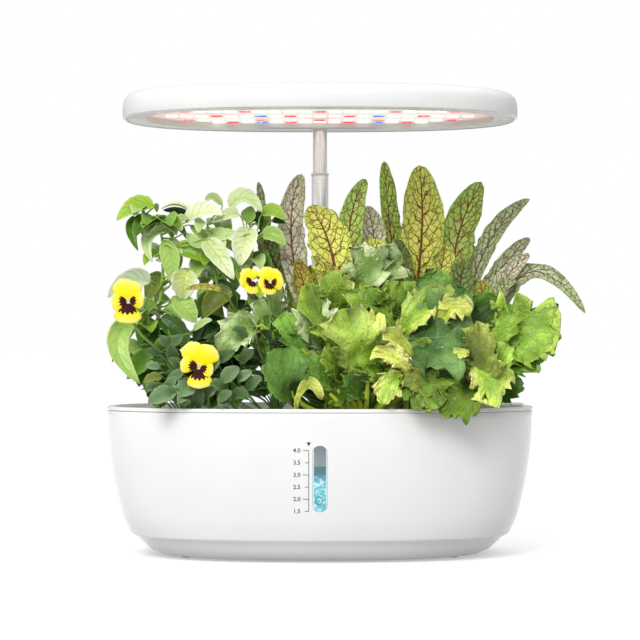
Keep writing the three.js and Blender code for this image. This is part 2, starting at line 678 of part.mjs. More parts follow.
const PLANTS = {
  basil_1: {
    kind: "basil",
    stems: [
      [[-134, 4, 110], [-138, 2, 165], [-132, 4, 215], [-130, 0, 268], [-136, -2, 280]],
      [[-134, 4, 110], [-144, -4, 150], [-146, -8, 198]],
    ],
    leaves: [
      { from: [-132, 0, 272], tip: [-169, -6, 270], bow: [-2, 0, 13], wide: 21, turn: 15 },
      { from: [-134, -2, 272], tip: [-150, -10, 246], bow: [-7, 0, 6], wide: 15, turn: -20 },
      { from: [-131, 0, 264], tip: [-140, -15, 239], bow: [-8, -2, 4], wide: 15 },
      { from: [-132, 4, 225], tip: [-181, -22, 216], bow: [0, -2, 10], wide: 34 },
      { from: [-146, -8, 198], tip: [-151, -38, 142], bow: [-17, -6, 8], wide: 23 },
      { from: [-138, 2, 170], tip: [-124, -38, 160], bow: [0, -4, 16], wide: 26 },
      { from: [-132, 4, 220], tip: [-143, -25, 195], bow: [-2, -4, 6], wide: 20 },
      { from: [-131, 2, 238], tip: [-119, 30, 236], bow: [0, 6, 6], wide: 22, turn: 10 },
      { from: [-136, 2, 190], tip: [-166, 32, 186], bow: [-4, 4, 12], wide: 26, turn: -40 },
      { from: [-144, -4, 150], tip: [-172, -6, 158], bow: [-2, 0, 8], wide: 22, turn: 40 },
      { from: [-136, 2, 200], tip: [-164, -26, 192], bow: [-2, -2, 8], wide: 27 },
      { from: [-138, 2, 165], tip: [-112, -26, 178], bow: [0, -2, 8], wide: 27, turn: -20 },
    ],
  },
  basil_2: {
    kind: "basil",
    stems: [
      [[-70, 4, 110], [-80, 2, 165], [-88, 0, 220], [-93, -2, 276]],
      [[-70, 4, 110], [-64, 4, 170], [-60, 2, 230], [-56, -2, 280]],
    ],
    leaves: [
      { from: [-93, 0, 276], tip: [-133, -2, 284], bow: [0, 0, 4], wide: 14, turn: 40 },
      { from: [-93, -2, 274], tip: [-72, -20, 284], bow: [0, -2, 6], wide: 26 },
      { from: [-92, -2, 268], tip: [-108, -18, 276], bow: [-2, 0, 6], wide: 18 },
      { from: [-91, -2, 258], tip: [-62, -24, 222], bow: [8, -4, 8], wide: 21 },
      { from: [-56, -2, 278], tip: [-76, -14, 282], bow: [0, -2, 6], wide: 20 },
      { from: [-56, -2, 278], tip: [-27, -6, 272], bow: [2, 0, 10], wide: 22 },
      { from: [-58, -2, 266], tip: [-74, -26, 234], bow: [2, -6, 8], wide: 27 },
      { from: [-58, 0, 255], tip: [-24, -16, 250], bow: [2, -2, 8], wide: 18 },
      { from: [-87, -2, 225], tip: [-104, -38, 201], bow: [-2, -4, 8], wide: 27 },
      { from: [-84, 0, 196], tip: [-56, -32, 200], bow: [0, -4, 6], wide: 20 },
      { from: [-88, 0, 225], tip: [-100, 36, 236], bow: [-2, 4, 8], wide: 24, turn: -30 },
      { from: [-60, 2, 230], tip: [-50, 38, 236], bow: [2, 4, 8], wide: 24, turn: 25 },
      { from: [-80, 2, 165], tip: [-102, -30, 162], bow: [-2, -2, 8], wide: 28 },
      { from: [-64, 4, 170], tip: [-36, -26, 178], bow: [2, -2, 8], wide: 28 },
      { from: [-88, 0, 235], tip: [-64, -14, 250], bow: [0, -2, 8], wide: 22 },
    ],
  },
  basil_3: {
    kind: "basil",
    stems: [[[-95, 60, 110], [-99, 62, 165], [-97, 64, 215], [-100, 62, 248]]],
    leaves: [
      { from: [-100, 62, 246], tip: [-134, 66, 254], bow: [0, 0, 6], wide: 24, turn: 20 },
      { from: [-100, 62, 246], tip: [-72, 72, 256], bow: [0, 2, 6], wide: 24, turn: -20 },
      { from: [-97, 64, 215], tip: [-104, 97, 206], bow: [0, 2, 8], wide: 26, turn: 160 },
      { from: [-98, 64, 200], tip: [-140, 74, 200], bow: [-2, 2, 8], wide: 27, turn: 40 },
      { from: [-98, 64, 195], tip: [-62, 78, 196], bow: [2, 2, 8], wide: 26, turn: -40 },
      { from: [-99, 62, 165], tip: [-118, 98, 158], bow: [0, 2, 12], wide: 26, turn: 160 },
      { from: [-99, 62, 160], tip: [-76, 96, 150], bow: [0, 2, 12], wide: 26, turn: 190 },
    ],
  },
  pansy_1: {
    kind: "pansy",
    stems: [
      [[-105, -52, 110], [-128, -62, 160], [-152, -70, 186], [-162, -66, 203]],
      [[-105, -52, 110], [-96, -70, 138], [-99, -86, 152]],
      [[-105, -52, 110], [-118, -60, 160], [-124, -60, 196]],
    ],
    leaves: [
      { tip: [-146, -82, 119], bow: [-2, 0, 12], wide: 17 },
      { tip: [-108, -97, 128], bow: [0, -4, 10], wide: 20 },
      { tip: [-150, -64, 143], bow: [0, 0, 6], wide: 9 },
      { tip: [-82, -102, 115], bow: [0, -4, 14], wide: 13 },
      { tip: [-84, -92, 140], bow: [0, -2, 6], wide: 12 },
      { tip: [-130, -82, 156], bow: [0, 0, 6], wide: 12 },
      { from: [-118, -60, 160], tip: [-138, -72, 184], bow: [0, 0, 2], wide: 10 },
      { from: [-122, -60, 182], tip: [-104, -74, 196], bow: [0, 0, 2], wide: 10 },
      { from: [-118, -60, 160], tip: [-98, -76, 176], bow: [0, 0, 2], wide: 10 },
      { from: [-124, -60, 192], tip: [-134, -62, 214], bow: [0, 0, 0], wide: 9 },
      { tip: [-122, -88, 122], bow: [0, -2, 10], wide: 18 },
      { tip: [-134, -68, 138], bow: [0, -2, 8], wide: 18 },
      { tip: [-92, -84, 124], bow: [0, -2, 8], wide: 17, turn: 20 },
      { tip: [-110, -24, 150], bow: [0, 2, 8], wide: 16, turn: 60 },
    ],
    flowers: [
      { centre: [-162, -70, 208], face: [-0.25, -1, 0.15], radius: 15.5 },
      { centre: [-99, -92, 154], face: [0.05, -1, 0.1], radius: 18.5 },
    ],
  },
  pansy_2: {
    kind: "pansy",
    stems: [
      [[-35, -52, 110], [-44, -56, 160], [-56, -58, 200], [-60, -60, 219]],
      [[-44, -56, 160], [-42, -62, 200], [-45, -62, 224]],
    ],
    leaves: [
      { tip: [-70, -101, 116], bow: [0, -2, 16], wide: 14 },
      { tip: [-62, -92, 138], bow: [0, -2, 8], wide: 15 },
      { tip: [-52, -103, 114], bow: [0, -4, 16], wide: 13 },
      { tip: [-34, -94, 130], bow: [0, -2, 8], wide: 14 },
      { tip: [-70, -76, 160], bow: [0, 0, 6], wide: 12 },
      { tip: [-16, -74, 150], bow: [0, 0, 6], wide: 12 },
      { from: [-44, -56, 160], tip: [-66, -68, 186], bow: [0, 0, 2], wide: 10 },
      { from: [-44, -56, 160], tip: [-30, -76, 176], bow: [0, 0, 2], wide: 10 },
      { tip: [-46, -88, 122], bow: [0, -2, 10], wide: 18 },
      { tip: [-22, -94, 120], bow: [0, -2, 12], wide: 17 },
      { tip: [-76, -82, 128], bow: [0, -2, 8], wide: 17 },
    ],
    flowers: [
      { centre: [-61, -64, 221], face: [-0.5, -1, -0.2], radius: 8.5 },
      { centre: [-44, -67, 226], face: [0.3, -1, 0.1], radius: 11 },
    ],
  },
  sorrel_1: {
    kind: "sorrel",
    leaves: [
      { tip: [-13, 20, 312], bow: [-10, 0, 0], wide: 25 },
      { tip: [-9, -10, 286], bow: [22, -4, 0], wide: 43 },
      { tip: [39, 6, 308], bow: [-2, 0, 0], wide: 21, turn: 20 },
      { tip: [-49, 32, 306], bow: [2, 4, 0], wide: 22, turn: 50 },
      { tip: [-22, -16, 258], bow: [6, -2, 4], wide: 18, turn: -25 },
      { tip: [46, 26, 290], bow: [4, 2, 0], wide: 16, turn: -15 },
      { tip: [-28, 52, 276], bow: [0, 6, 0], wide: 22, turn: 150 },
      { tip: [30, 54, 264], bow: [0, 6, 0], wide: 22, turn: 200 },
      { tip: [-58, 46, 216], bow: [0, 4, 10], wide: 22, turn: 130 },
    ],
  },
  sorrel_2: {
    kind: "sorrel",
    leaves: [
      { tip: [56, 50, 326], bow: [2, 0, 0], wide: 17, turn: 15 },
      { tip: [87, 44, 321], bow: [-6, -2, 0], wide: 37 },
      { tip: [141, 50, 309], bow: [-6, -2, 6], wide: 29, turn: -10 },
      { tip: [178, 52, 293], bow: [-13, 0, 6], wide: 16, turn: -30 },
      { tip: [182, 46, 262], bow: [-15, 0, 6], wide: 15, turn: -25 },
      { tip: [184, 40, 242], bow: [-14, 0, 2], wide: 16, turn: 20 },
      { tip: [224, 22, 199], bow: [-8, 0, 64], wide: 20 },
      { tip: [132, 88, 258], bow: [0, 4, 4], wide: 26, turn: 160 },
      { tip: [66, 92, 262], bow: [0, 4, 0], wide: 26, turn: 190 },
      { tip: [106, 100, 226], bow: [0, 6, 6], wide: 24, turn: 175 },
    ],
  },
  lettuce_1: {
    kind: "lettuce",
    leaves: [
      { tip: [-29, -90, 123], bow: [-22, -8, 46], wide: 44 },
      { tip: [8, -94, 118], bow: [2, -4, 22], wide: 22 },
      { tip: [-8, -76, 166], bow: [-26, 4, 58], wide: 20, turn: 20 },
      { tip: [-90, -82, 168], bow: [10, -4, 50], wide: 30, turn: 10 },
      { tip: [-25, -34, 246], bow: [-6, 0, 10], wide: 18 },
      { tip: [52, -94, 126], bow: [6, -6, 32], wide: 26 },
      { tip: [-44, -68, 190], bow: [-4, -2, 18], wide: 42, turn: -10 },
      { tip: [34, -90, 148], bow: [0, -8, 20], wide: 38 },
      { tip: [17, -46, 215], bow: [0, -2, 14], wide: 40, turn: 6 },
      { tip: [68, -86, 160], bow: [2, -6, 22], wide: 38 },
    ],
  },
  lettuce_2: {
    kind: "lettuce",
    leaves: [
      { tip: [198, -62, 180], bow: [0, -6, 32], wide: 58, turn: -10 },
      { tip: [174, -50, 218], bow: [-4, 0, 12], wide: 38 },
      { tip: [116, -94, 134], bow: [10, -6, 44], wide: 38 },
      { tip: [94, -106, 114], bow: [6, -4, 24], wide: 36 },
      { tip: [144, -86, 118], bow: [4, -4, 22], wide: 28 },
      { tip: [164, -66, 144], bow: [0, -2, 12], wide: 22 },
      { tip: [152, -74, 164], bow: [0, -4, 22], wide: 42 },
      { tip: [130, -58, 202], bow: [0, 0, 14], wide: 42, turn: 15 },
      { tip: [86, -60, 190], bow: [0, -2, 10], wide: 36, turn: -20 },
    ],
  },
  lettuce_3: {
    kind: "lettuce",
    leaves: [
      { tip: [40, -40, 254], bow: [4, -4, 14], wide: 62 },
      { tip: [124, -74, 170], bow: [-10, -14, 50], wide: 54 },
      { tip: [92, -48, 222], bow: [-4, -8, 12], wide: 44 },
      { tip: [76, -14, 256], bow: [4, 0, 6], wide: 38 },
      { tip: [28, -90, 158], bow: [-14, -16, 66], wide: 54 },
      { tip: [88, -94, 136], bow: [4, -12, 40], wide: 34 },
      { tip: [58, 48, 218], bow: [0, 4, 14], wide: 44, turn: 170 },
      { tip: [106, 28, 190], bow: [0, 2, 12], wide: 34, turn: 140 },
      { tip: [108, -18, 228], bow: [0, -2, 12], wide: 42, turn: 20 },
      { tip: [30, 20, 230], bow: [-2, 2, 12], wide: 38, turn: -40 },
    ],
  },
};

// All that grows above the pod, with grow added all round for the solid that cuts a neighbour.
function growth(name, grow = 0) {
  const [x, y] = PODS[name];
  const { kind, stems = [], leaves, flowers = [] } = PLANTS[name];
  const stemRadius = 1.6;
  const crown = upright(x, y, 6 + grow, 108, CROWN_Z + 2 + grow, 8);
  return join(
    crown,
    ...stems.map((points) => stem(points, stemRadius, grow)),
    ...leaves.map((one) => leaf(kind, [x, y, CROWN_Z], one, grow)),
    ...flowers.map((one) => flower(one, grow)),
  );
}

// The grow plug that fills a basket, a little clear of its wall.
function plug(x, y) {
  return turned(
    x,
    y,
    [
      [0, 66],
      [10.2, 66],
      [13.8, 109.5],
      [12, 111.5],
      [0, 111.5],
    ],
    8,
  );
}

// What a leaf keeps clear of: the deck with its rim, the fill port and the post.
function keepClear() {
  const margin = 0.5;
  const rim = cut(
    deckSlab(DECK.outer + margin, 60, TUB_HEIGHT + margin),
    deckSlab(DECK.recess - margin, DECK_FLOOR + 2, TUB_HEIGHT + 2),
  );
  const spots = Object.values(PODS);
  const flanges = spots.map(([x, y]) =>
    upright(x, y, POD.flange + margin, DECK_FLOOR - 2, DECK_FLOOR + 2.3, 12),
  );
  const openings = spots.map(([x, y]) => upright(x, y, 8, 50, DECK_FLOOR + 3, 10));
  return join(
    cut(join(rim, ...flanges), ...openings),
    box(LID.left - 1, 175, LID.front - 1, LID.back + 8, 110, LID.bottom + 4),
    upright(0, POST.y, 9, 100, 330, 12),
    upright(0, POST.y, 17, 100, 138, 12),
  );
}

// The biggest of a solid's bodies, with the small gaps that its leaves close off filled in.
function largest(made) {
  return made.decompose().reduce((best, one) => (one.volume() > best.volume() ? one : best));
}

// Points set on a fine grid, so that none lie closer together than a mesher can tell apart.
// The thin stems of a pansy keep their own points.
function settled(made, kind) {
  const snap = (point) => point.forEach((value, i) => (point[i] = Math.round(value / GRID) * GRID));
  const plain = made.simplify(SLIVER);
  return kind === "pansy" ? plain : plain.warp(snap).simplify(GRID / 2);
}

// Each plant is trimmed where one made before it already stands.
function plants() {
  const order = [
    "pansy_1",
    "pansy_2",
    "lettuce_3",
    "lettuce_2",
    "lettuce_1",
    "sorrel_2",
    "sorrel_1",
    "basil_1",
    "basil_2",
    "basil_3",
  ];
  const keep = keepClear();
  const standing = [];
  return order.map((name) => {
    const trimmed = cut(growth(name), keep, ...standing);
    standing.push(growth(name, CUT_MARGIN));
    const whole = join(largest(trimmed), plug(...PODS[name]));
    return [name, largest(solid(geometryOf(settled(whole, PLANTS[name].kind))))];
  });
}

// Materials, one for each finish

const FINISHES = {
  white: { color: 0xf4f4f2, roughness: 0.18, metalness: 0 },
  clear: { color: 0xbfe3ea, roughness: 0.05, metalness: 0 },
  rubber: { color: 0x3a3a3c, roughness: 0.8, metalness: 0 },
  steel: { color: 0xc4c6c9, roughness: 0.3, metalness: 1 },
  black: { color: 0x202124, roughness: 0.5, metalness: 0 },
  board: { color: 0xfbf7ea, roughness: 0.5, metalness: 0 },
  sponge: { color: 0x2c2e30, roughness: 0.95, metalness: 0 },
  basil: { color: 0x8fbf4a, roughness: 0.4, metalness: 0 },
  pansy: { color: 0x4f7350, roughness: 0.5, metalness: 0 },
  sorrel: { color: 0x8fae4c, roughness: 0.5, metalness: 0 },
  lettuce: { color: 0xa3c93f, roughness: 0.45, metalness: 0 },
};

const garden = new THREE.Group();

function place(name, finish, made) {
  const mesh = new THREE.Mesh(geometryOf(made), new THREE.MeshStandardMaterial(FINISHES[finish]));
  mesh.name = name;
  garden.add(mesh);
}

place("tub_shell", "white", tubShell());
place("level_window", "clear", levelWindow());
place("window_seal", "rubber", windowSeal());
corners(FEET.x, FEET.y).forEach(([x, y], i) =>
  place(`foot_${i + 1}`, "rubber", upright(x, y, FEET.radius, 0, FEET.height)),
);
place("deck", "white", deck());
place("fill_lid", "white", fillLid());
place("fill_lid_pin", "steel", alongX(HINGE.y, HINGE.z, HINGE.pin, 128, 164));
place("post_socket", "white", postSocket());
place("dc_inlet", "black", dcInlet());
place("lower_post", "steel", lowerPost());
place("post_collar", "white", postCollar());
place("collar_rivet", "steel", collarRivet());
Object.values(PODS).forEach(([x, y], i) => place(`basket_${i + 1}`, "black", basket(x, y)));
plants().forEach(([name, made]) => place(name, PLANTS[name].kind, made));
place("pump_housing", "black", pumpHousing());
place("pump_cover", "black", pumpCover());
place("pump_filter", "sponge", pumpFilter());
place("impeller", "white", impeller());
place("impeller_shaft", "steel", impellerShaft());
place("pump_hose", "clear", pumpHose());
place("pump_lead", "black", pumpLead());
place("upper_post", "steel", tube(POST.upper, POST.upperBore, UPPER_BOTTOM, UPPER_TOP));
place("lamp_top", "white", lampTop());
place("lamp_bezel", "white", lampBezel());
place("led_board", "board", ledBoard());
place("control_board", "board", controlBoard());
SCREWS.forEach(([x, y], i) => place(`bezel_screw_${i + 1}`, "steel", bezelScrew(x, y)));
place("light_button", "white", pushButton(-1));
place("pump_button", "white", pushButton(1));

export default garden;
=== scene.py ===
"""Countertop hydroponic garden: the looks of every piece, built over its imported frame.

Sizes are in millimetres and become metres in the helpers that place a mesh. X runs along the
tub, Y to the back and Z up, as in the frame.
"""

import logging
import math
import random
from dataclasses import dataclass
from enum import Enum

import bpy
from bpy.types import Material, NodeSocket, Object
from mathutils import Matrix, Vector, noise


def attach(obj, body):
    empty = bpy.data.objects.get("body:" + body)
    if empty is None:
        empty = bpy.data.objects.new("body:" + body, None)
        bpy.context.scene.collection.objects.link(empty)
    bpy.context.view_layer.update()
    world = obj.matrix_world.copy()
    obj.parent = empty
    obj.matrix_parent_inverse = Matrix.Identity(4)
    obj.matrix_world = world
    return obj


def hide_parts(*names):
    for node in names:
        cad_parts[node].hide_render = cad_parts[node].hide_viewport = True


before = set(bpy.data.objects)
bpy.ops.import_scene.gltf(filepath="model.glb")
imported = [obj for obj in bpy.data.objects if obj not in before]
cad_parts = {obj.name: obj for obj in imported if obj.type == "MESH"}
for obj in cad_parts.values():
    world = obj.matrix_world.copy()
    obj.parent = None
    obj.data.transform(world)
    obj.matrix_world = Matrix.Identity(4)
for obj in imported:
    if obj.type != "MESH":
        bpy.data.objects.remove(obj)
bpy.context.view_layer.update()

log = logging.getLogger("garden")

MM = 0.001
ROUNDNESS = 2.5  # power of the rounded plan that tub, deck and light head share
PLAN_SIDES = 160
SMOOTH_ANGLE = math.radians(32)
BEVEL_ANGLE = math.radians(40)
LEVEL_STEP = 3  # between the level cuts of what is laid on the tub's wall

Point = tuple[float, float, float]
Colour = tuple[int, int, int]
Row = tuple[float, float, float]


class Body(Enum):
    """Rigid bodies of the frame that a piece can ride on."""

    TUB = "tub"
    DECK = "deck"
    FILL_LID = "fill_lid"
    LIGHT_HEAD = "light_head"
    LIGHT_BUTTON = "light_button"
    PUMP_BUTTON = "pump_button"


# Colour and node helpers


def linear(colour: Colour) -> tuple[float, float, float, float]:
    """Turn a colour of 0 to 255 a channel into the linear values that a shader takes.

    Args:
        colour: Red, green and blue as a screen shows them.

    Returns:
        Linear red, green, blue and an alpha of 1.
    """
    parts = [part / 255 for part in colour]
    flat = [part / 12.92 if part <= 0.04045 else ((part + 0.055) / 1.055) ** 2.4 for part in parts]
    return (flat[0], flat[1], flat[2], 1.0)


class NodeTree:
    """A node tree, and short ways to add nodes to it."""

    def __init__(self, tree: bpy.types.NodeTree) -> None:
        """Keep the tree and give it a source of coordinates."""
        self.tree = tree
        self.coordinates = tree.nodes.new("ShaderNodeTexCoord")

    def feed(self, socket: NodeSocket, value: object) -> None:
        """Link a socket to another, or set its value.

        Args:
            socket: The input to fill.
            value: Another node's output, or a plain value.
        """
        if isinstance(value, NodeSocket):
            self.tree.links.new(value, socket)
        else:
            socket.default_value = value

    def math(self, operation: str, *values: object) -> NodeSocket:
        """Add a Math node.

        Args:
            operation: Blender's name of the operation.
            values: Sockets or numbers for its inputs, in order.

        Returns:
            The result's socket.
        """
        node = self.tree.nodes.new("ShaderNodeMath")
        node.operation = operation
        for socket, value in zip(node.inputs, values):
            self.feed(socket, value)
        return node.outputs[0]

    def ramp(
        self, value: object, low: float, high: float, start: float = 0.0, end: float = 1.0
    ) -> NodeSocket:
        """Rise smoothly from start to end while a value goes from low to high.

        Args:
            value: The socket that drives it.
            low: Value where the rise begins.
            high: Value where the rise ends.
            start: Result below low.
            end: Result above high.

        Returns:
            The result's socket.
        """
        node = self.tree.nodes.new("ShaderNodeMapRange")
        node.interpolation_type = "SMOOTHSTEP"
        for socket, part in zip(node.inputs, (value, low, high, start, end)):
            self.feed(socket, part)
        return node.outputs[0]

    def mix(self, factor: object, first: object, second: object, blend: str = "MIX") -> NodeSocket:
        """Blend two colours.

        Args:
            factor: Share of the second colour.
            first: Colour or socket.
            second: Colour or socket.
            blend: Blender's name of the blend.

        Returns:
            The colour's socket.
        """
        node = self.tree.nodes.new("ShaderNodeMix")
        node.data_type = "RGBA"
        node.blend_type = blend
        for index, value in ((0, factor), (6, first), (7, second)):
            self.feed(node.inputs[index], value)
        return node.outputs[2]

    def place(self, vector: NodeSocket, scale: Point) -> NodeSocket:
        """Scale a pattern's coordinates.

        Args:
            vector: Coordinates to start from.
            scale: Factors along X, Y and Z.

        Returns:
            The new coordinates' socket.
        """
        node = self.tree.nodes.new("ShaderNodeMapping")
        self.feed(node.inputs["Vector"], vector)
        node.inputs["Scale"].default_value = scale
        return node.outputs[0]

    def clouds(self, vector: NodeSocket, scale: float, detail: float = 2.0) -> NodeSocket:
        """Add soft noise.

        Args:
            vector: Coordinates it reads.
            scale: Features to a unit of the coordinates.
            detail: Octaves.

        Returns:
            The noise value's socket, about 0.5 on average.
        """
        node = self.tree.nodes.new("ShaderNodeTexNoise")
        self.feed(node.inputs["Vector"], vector)
        node.inputs["Scale"].default_value = scale
        node.inputs["Detail"].default_value = detail
        return node.outputs["Fac"]

    def cells(self, vector: NodeSocket, scale: float) -> NodeSocket:
        """Add a net of cells and give the distance to the nearest thread.

        Args:
            vector: Coordinates it reads.
            scale: Cells to a unit of the coordinates.

        Returns:
            The distance's socket, 0 on a thread.
        """
        node = self.tree.nodes.new("ShaderNodeTexVoronoi")
        node.feature = "DISTANCE_TO_EDGE"
        self.feed(node.inputs["Vector"], vector)
        node.inputs["Scale"].default_value = scale
        return node.outputs["Distance"]

    def stir(self, vector: NodeSocket, scale: float, reach: float) -> NodeSocket:
        """Push coordinates about, so that what reads them isn't straight.

        Args:
            vector: Coordinates to start from.
            scale: Swirls to a unit of the coordinates.
            reach: How far they are pushed.

        Returns:
            The new coordinates' socket.
        """
        swirl = self.tree.nodes.new("ShaderNodeTexNoise")
        self.feed(swirl.inputs["Vector"], vector)
        swirl.inputs["Scale"].default_value = scale
        push = self.tree.nodes.new("ShaderNodeVectorMath")
        push.operation = "MULTIPLY_ADD"
        self.feed(push.inputs[0], swirl.outputs["Color"])
        push.inputs[1].default_value = (reach, reach, reach)
        self.feed(push.inputs[2], vector)
        return push.outputs[0]

    def attribute(self, name: str) -> NodeSocket:
        """Read a colour that the mesh carries.

        Args:
            name: The attribute's name.

        Returns:
            The colour's socket.
        """
        node = self.tree.nodes.new("ShaderNodeAttribute")
        node.attribute_name = name
        return node.outputs["Color"]

    def split(self, vector: NodeSocket) -> tuple[NodeSocket, NodeSocket, NodeSocket]:
        """Split coordinates into X, Y and Z sockets.

        Args:
            vector: The coordinates.

        Returns:
            Their three sockets.
        """
        node = self.tree.nodes.new("ShaderNodeSeparateXYZ")
        self.feed(node.inputs[0], vector)
        return node.outputs[0], node.outputs[1], node.outputs[2]


class NodeSheet(NodeTree):
    """A material and the nodes that make its pattern."""

    def __init__(self, name: str) -> None:
        """Start an empty material around its shader.

        Args:
            name: The material's name.
        """
        self.material = bpy.data.materials.new(name)
        self.material.use_nodes = True
        super().__init__(self.material.node_tree)
        self.shader = self.tree.nodes["Principled BSDF"]

    def surface(self, **values: object) -> None:
        """Fill the shader's own inputs.

        Args:
            values: Input names in small letters with underscores, and their values.
        """
        for name, value in values.items():
            label = name.replace("_", " ").title().replace("Ior", "IOR")
            self.feed(self.shader.inputs[label], value)

    def bump(self, height: object, depth: float) -> None:
        """Raise the surface by a height pattern.

        Args:
            height: Pattern of 0 to 1.
            depth: Real height in metres.
        """
        node = self.tree.nodes.new("ShaderNodeBump")
        node.inputs["Distance"].default_value = depth
        self.feed(node.inputs["Height"], height)
        self.tree.links.new(node.outputs["Normal"], self.shader.inputs["Normal"])


# Finishes


@dataclass(frozen=True)
class Moulded:
    """Moulded plastic, rubber or foam, with clouding, fine grain and a broken gloss."""

    name: str
    colour: Colour
    shade: Colour
    roughness: float = 0.25
    grain: float = 0.00001
    grain_scale: float = 900.0
    coat: float = 0.0

    def build(self) -> Material:
        """Make the material."""
        sheet = NodeSheet(self.name)
        spot = sheet.coordinates.outputs["Object"]
        cloud = sheet.ramp(sheet.clouds(spot, 14.0, 3.0), 0.35, 0.7)
        colour = sheet.mix(cloud, linear(self.colour), linear(self.shade))
        fine = sheet.clouds(spot, self.grain_scale, 2.0)
        gloss = sheet.ramp(cloud, 0.0, 1.0, self.roughness, self.roughness * 1.25)
        sheet.surface(base_color=colour, roughness=gloss, coat_weight=self.coat, coat_roughness=0.06)
        sheet.bump(fine, self.grain)
        return sheet.material


@dataclass(frozen=True)
class BrushedSteel:
    """Bright steel with fine lines round the tube."""

    name: str
    colour: Colour
    roughness: float = 0.26

    def build(self) -> Material:
        """Make the material."""
        sheet = NodeSheet(self.name)
        spot = sheet.coordinates.outputs["Object"]
        lines = sheet.clouds(sheet.place(spot, (20, 20, 3000)), 1.0, 2.0)
        dull = tuple(round(part * 0.98) for part in self.colour)
        colour = sheet.mix(sheet.ramp(lines, 0.3, 0.7), linear(self.colour), linear(dull))
        rough = sheet.ramp(lines, 0.3, 0.7, self.roughness * 0.96, self.roughness * 1.05)
        sheet.surface(base_color=colour, metallic=1.0, roughness=rough)
        return sheet.material


@dataclass(frozen=True)
class Glow:
    """A lit part: a pale, slightly clouded body with its own light."""

    name: str
    colour: Colour
    strength: float

    def build(self) -> Material:
        """Make the material."""
        sheet = NodeSheet(self.name)
        spot = sheet.coordinates.outputs["Object"]
        flicker = sheet.clouds(spot, 260.0, 2.0)
        body = sheet.mix(sheet.ramp(flicker, 0.4, 0.9), linear(self.colour), (1, 1, 1, 1))
        sheet.surface(
            base_color=body,
            roughness=0.4,
            emission_color=linear(self.colour),
            emission_strength=self.strength,
        )
        return sheet.material


@dataclass(frozen=True)
class LitBoard:
    """The lamp's board: warm white with a painted glow of its own, tinted where coloured light falls on it.
    """

    name: str
    base: Colour = (250, 247, 240)
    pink: Colour = (250, 190, 190)
    # strength of the painted glow that makes the board look lit
    strength: float = 0.42

    def build(self) -> Material:
        """Make the material."""
        sheet = NodeSheet(self.name)
        spot = sheet.coordinates.outputs["Object"]
        x, _, _ = sheet.split(spot)
        # painted light: pink from the coloured lamps, towards the board's ends and in soft patches
        ends = sheet.ramp(sheet.math("ABSOLUTE", x), 0.09, 0.145)
        patches = sheet.ramp(sheet.clouds(spot, 26.0, 1.0), 0.5, 0.68)
        at_ends = sheet.math("MULTIPLY", ends, 0.75)
        tint = sheet.math("MAXIMUM", at_ends, sheet.math("MULTIPLY", patches, 0.5))
        colour = sheet.mix(tint, linear(self.base), linear(self.pink))
        # painted glow: the board is no lamp, but it gives off light so that it looks lit
        sheet.surface(
            base_color=colour, roughness=0.45, emission_color=colour, emission_strength=self.strength
        )
        sheet.bump(sheet.clouds(spot, 500.0), 0.00002)
        return sheet.material


@dataclass(frozen=True)
class WaterWindow:
    """The level window: grey above the water, teal at its surface, aqua with bubbles below, with a painted
    highlight along its sides.
    """

    name: str
    surface_z: float = 0.0775
    dry: Colour = (132, 142, 146)
    line: Colour = (38, 110, 124)
    deep: Colour = (84, 196, 214)
    pale: Colour = (206, 244, 250)

    def build(self) -> Material:
        """Make the material."""
        sheet = NodeSheet(self.name)
        spot = sheet.coordinates.outputs["Object"]
        x, _, z = sheet.split(spot)
        wave = sheet.math("MULTIPLY", sheet.clouds(spot, 160.0, 2.0), 0.0022)
        height = sheet.math("ADD", z, wave)
        under = sheet.ramp(height, self.surface_z + 0.0012, self.surface_z + 0.0006)
        depth = sheet.ramp(height, self.surface_z - 0.004, self.surface_z - 0.013)
        foam = sheet.ramp(sheet.clouds(sheet.place(spot, (1, 1, 1.6)), 260.0, 4.0), 0.46, 0.62)
        water = sheet.mix(depth, linear(self.line), linear(self.deep))
        water = sheet.mix(sheet.math("MULTIPLY", foam, depth), water, linear(self.pale))
        ring_x = sheet.math("SUBTRACT", x, -0.0008)
        ring_z = sheet.math("SUBTRACT", z, 0.0505)
        reach = sheet.math("POWER", ring_x, 2.0)
        reach = sheet.math("SQRT", sheet.math("ADD", reach, sheet.math("POWER", ring_z, 2.0)))
        ring = sheet.ramp(sheet.math("ABSOLUTE", sheet.math("SUBTRACT", reach, 0.0028)), 0.0008, 0.0002)
        water = sheet.mix(ring, water, linear((46, 140, 158)))
        dry = sheet.mix(sheet.ramp(z, 0.078, 0.094), linear(self.dry), linear((112, 118, 122)))
        colour = sheet.mix(under, dry, water)
        # painted highlight: a pale band along the window's sides
        edge = sheet.ramp(sheet.math("ABSOLUTE", x), 0.0043, 0.0054)
        colour = sheet.mix(edge, colour, linear((214, 242, 248)))
        sheet.surface(base_color=colour, roughness=0.08, coat_weight=1.0, coat_roughness=0.02)
        sheet.bump(foam, 0.00006)
        return sheet.material


